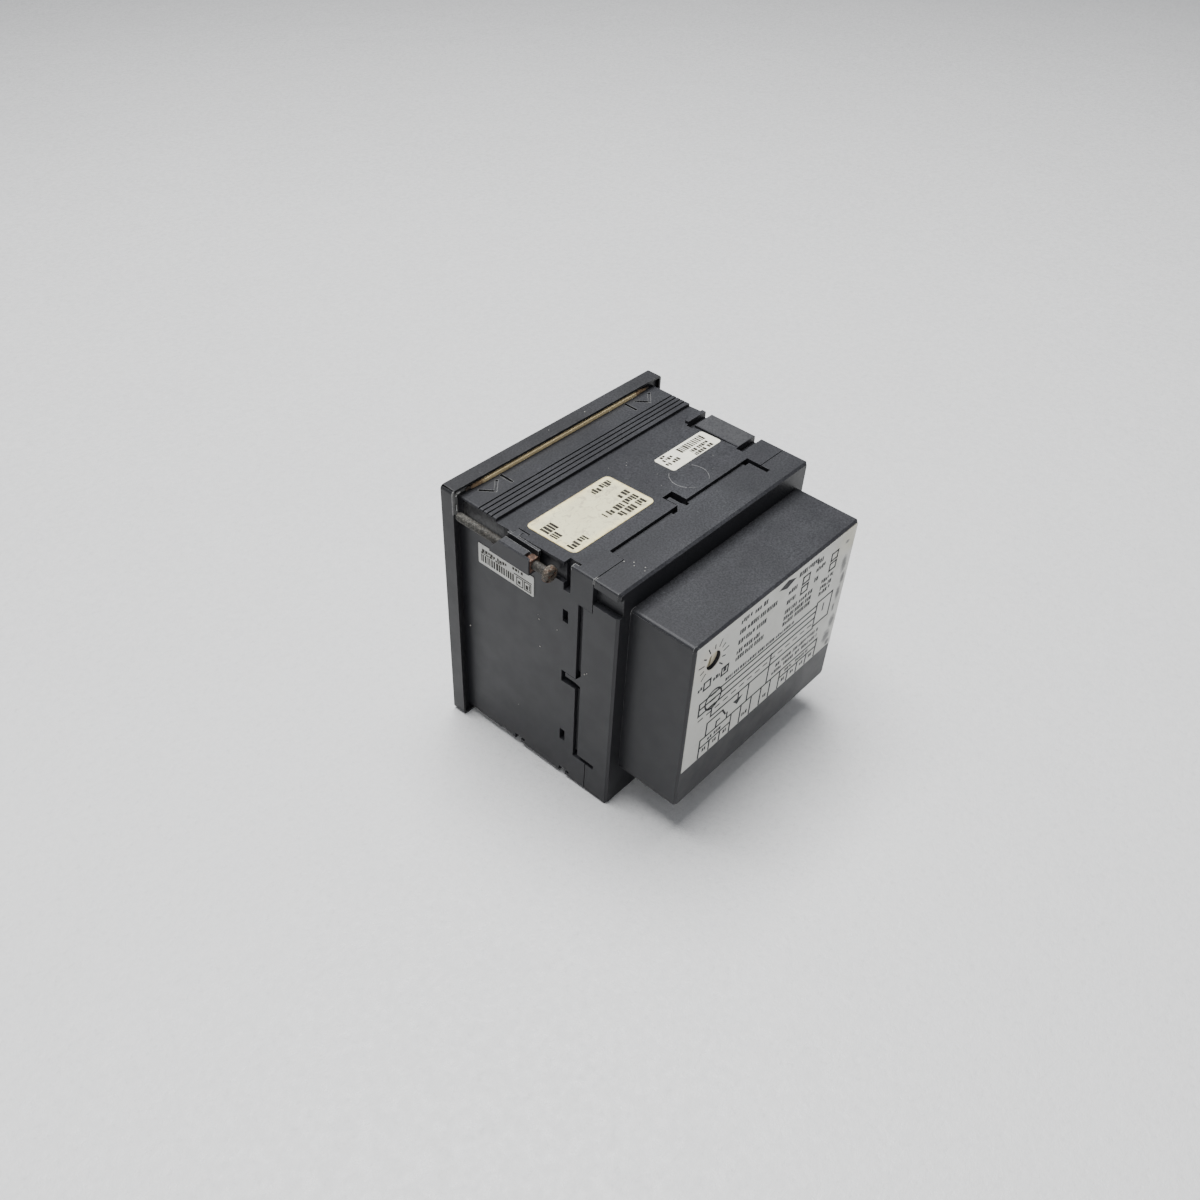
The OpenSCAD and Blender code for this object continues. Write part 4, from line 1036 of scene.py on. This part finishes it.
def cut_away(obj, cutter_mesh):
    """Takes the cutter's shape out of the object's own mesh."""
    cutter = bpy.data.objects.new("cutter", cutter_mesh)
    bpy.context.collection.objects.link(cutter)
    change = obj.modifiers.new("slot", "BOOLEAN")
    change.operation = "DIFFERENCE"
    change.solver = "EXACT"
    change.object = cutter
    bpy.context.view_layer.update()
    graph = bpy.context.evaluated_depsgraph_get()
    made = bpy.data.meshes.new_from_object(obj.evaluated_get(graph))
    obj.modifiers.clear()
    obj.data = made
    bpy.data.objects.remove(cutter)


def crumbs(name, spots, material):
    """Loose grains on a surface: each spot is a place in millimetres and a grain size."""
    bm = bmesh.new()
    for at, size in spots:
        made = bmesh.ops.create_icosphere(bm, subdivisions=1, radius=size * MM / 2)
        centre = Vector(at) * MM
        for v in made["verts"]:
            v.co = v.co * draw.uniform(0.7, 1.2) + centre
    piece(name, finished(bm, name, True), material, HOUSING)


# Edges sharper than this many degrees are broken
EDGE_ANGLE = 35


def soften(node, width=0.22 * MM, merge=True):
    """Breaks the sharp edges of a CAD node, as a mould does.

    Merging the flat facets first gives wider edges, but would close a frame's opening.
    """
    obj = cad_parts[node]
    weld = obj.modifiers.new("weld", "WELD")
    weld.merge_threshold = 0.002 * MM
    if merge:
        flat = obj.modifiers.new("flat", "DECIMATE")
        flat.decimate_type = "DISSOLVE"
        flat.angle_limit = math.radians(1)
    edge = obj.modifiers.new("edge", "BEVEL")
    edge.width = width
    edge.segments = 2
    edge.limit_method = "ANGLE"
    edge.angle_limit = math.radians(EDGE_ANGLE)
    edge.harden_normals = True
    edge.use_clamp_overlap = True


def dress_nodes():
    """Gives each CAD node its material."""
    for node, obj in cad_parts.items():
        material = MATERIALS.get(SHARED.get(node, node))
        if material is None:
            continue
        obj.data.materials.clear()
        obj.data.materials.append(material)


# Distance of the cover's rear edge behind the case
COVER_EDGE = 9.7 * MM
FLOOR_SIZE = 2.5
FLOOR_CELLS = 120


def make_floor():
    """Pale sheet that carries the frame's lower edge and the cover's lower rear edge."""
    front = Vector((0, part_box("bezel_frame")[1][1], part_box("bezel_frame")[0][2]))
    rear = Vector((0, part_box("front_case")[1][1] + COVER_EDGE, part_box("front_case")[0][2]))
    slope = math.atan2(rear.z - front.z, rear.y - front.y)
    bm = bmesh.new()
    bmesh.ops.create_grid(bm, x_segments=FLOOR_CELLS, y_segments=FLOOR_CELLS, size=FLOOR_SIZE)
    place = Matrix.Translation(front) @ Matrix.Rotation(slope, 4, "X")
    bmesh.ops.transform(bm, matrix=place, verts=bm.verts)
    mesh = finished(bm, "floor", True)
    floor = bpy.data.objects.new("floor", mesh)
    bpy.context.collection.objects.link(floor)
    mesh.materials.append(floor_sheet("floor_sheet"))


def add_light(name, at, aim, size, power):
    """A soft white light from a rectangle that faces its aim."""
    data = bpy.data.lights.new(name, "AREA")
    data.shape = "RECTANGLE"
    data.size, data.size_y = size
    data.energy = power
    obj = bpy.data.objects.new(name, data)
    obj.location = at
    obj.rotation_mode = "QUATERNION"
    obj.rotation_quaternion = (Vector(aim) - Vector(at)).to_track_quat("-Z", "Y")
    bpy.context.collection.objects.link(obj)


SKY_TINT = (0.92, 0.94, 1.0, 1)
SKY_STRENGTH = 0.235


def make_lights():
    """Plain soft studio light: an even sky, a wide lamp overhead and a weak one behind the camera."""
    world = bpy.data.worlds.new("studio")
    world.use_nodes = True
    sky = world.node_tree.nodes["Background"]
    sky.inputs["Color"].default_value = SKY_TINT
    sky.inputs["Strength"].default_value = SKY_STRENGTH
    bpy.context.scene.world = world
    add_light("overhead", (-0.05, -0.25, 1.25), (0, 0.02, 0), (1.0, 0.8), 35)
    add_light("behind_camera", (0.95, 0.75, 0.9), (0, 0.03, 0), (0.8, 0.8), 3.4)


GASKET = aged_foam("gasket_tan")
SCREW_DUSTY = rusty_steel("screw_dusty", (0.055, 0.053, 0.047), (0.08, 0.05, 0.03), 0.35,
                          (0.18, 0.175, 0.155), 0.8, 8.5 * MM)
HEAD_RUSTY = rusty_steel("head_rusty", (0.07, 0.062, 0.05), (0.19, 0.09, 0.05), 0.6,
                         (0.29, 0.25, 0.20), 0.60)
DUST = plain_plastic("dust_pale", (0.40, 0.39, 0.36), 0.9)
# Pale colour of the two lines on the floor of the frame's recess
PALE_LINE_WHITE = plain_plastic("pale_line_white", (0.85, 0.85, 0.82), 0.5)
# Grains of dust on the left side, the top of the cover and the front frame: place and size
GRAINS = (
    ((45.0, 33.0, 17.0), 0.5), ((45.0, 33.5, 6.0), 0.45), ((45.0, 40.5, 17.5), 0.4),
    ((45.0, 52.0, 7.0), 0.5), ((45.0, 32.6, 18.6), 0.3), ((45.0, 52.8, 7.8), 0.35),
    ((45.0, 2.0, -6.0), 0.6), ((45.0, 24.0, -27.0), 0.3), ((31.5, 56.6, 45.0), 0.5),
    ((32.6, 57.6, 45.0), 0.4), ((31.0, 60.4, 45.0), 0.45), ((32.2, 61.2, 45.0), 0.35),
    ((33.2, 54.4, 45.0), 0.55), ((-12.0, -2.4, 48.0), 0.5), ((4.0, -3.1, 48.0), 0.3),
)
# Grains on the sloping top panel: place x, y and size
PANEL_GRAINS = (
    (-3.2, 23.5, 0.30), (-4.6, 22.4, 0.22), (0.8, 27.6, 0.20), (-6.2, 33.5, 0.24), (-14.6, 25.2, 0.20),
    (-2.4, 38.4, 0.26), (-3.9, 41.0, 0.20), (-26.5, 39.6, 0.24), (-20.4, 44.2, 0.20), (1.6, 20.4, 0.24),
)

make_camera()
make_floor()
make_lights()
dress_nodes()
for node in ("front_case", "rear_cover", "clamp_body_right", "clamp_body_left"):
    soften(node)
soften("bezel_frame", merge=False)
for node in ("clamp_nut_right", "clamp_nut_left", "terminal_block"):
    soften(node, 0.12 * MM)
rear_print()
label_prints()
scratched_ring()
pale_corner_lines()
on_panel = [(tuple(top_panel_lay(x, y, 0) / MM), size) for x, y, size in PANEL_GRAINS]
crumbs("dust_grains", (*GRAINS, *on_panel), DUST)
dial_print()
gasket("sealing_strip_top", "gasket_top", 3)
gasket("sealing_strip_bottom", "gasket_bottom", 11)
clamp_screw("clamp_screw_right_threaded", "clamp_screw_right", "tightening_screw_right")
clamp_screw("clamp_screw_left_threaded", "clamp_screw_left", "tightening_screw_left")
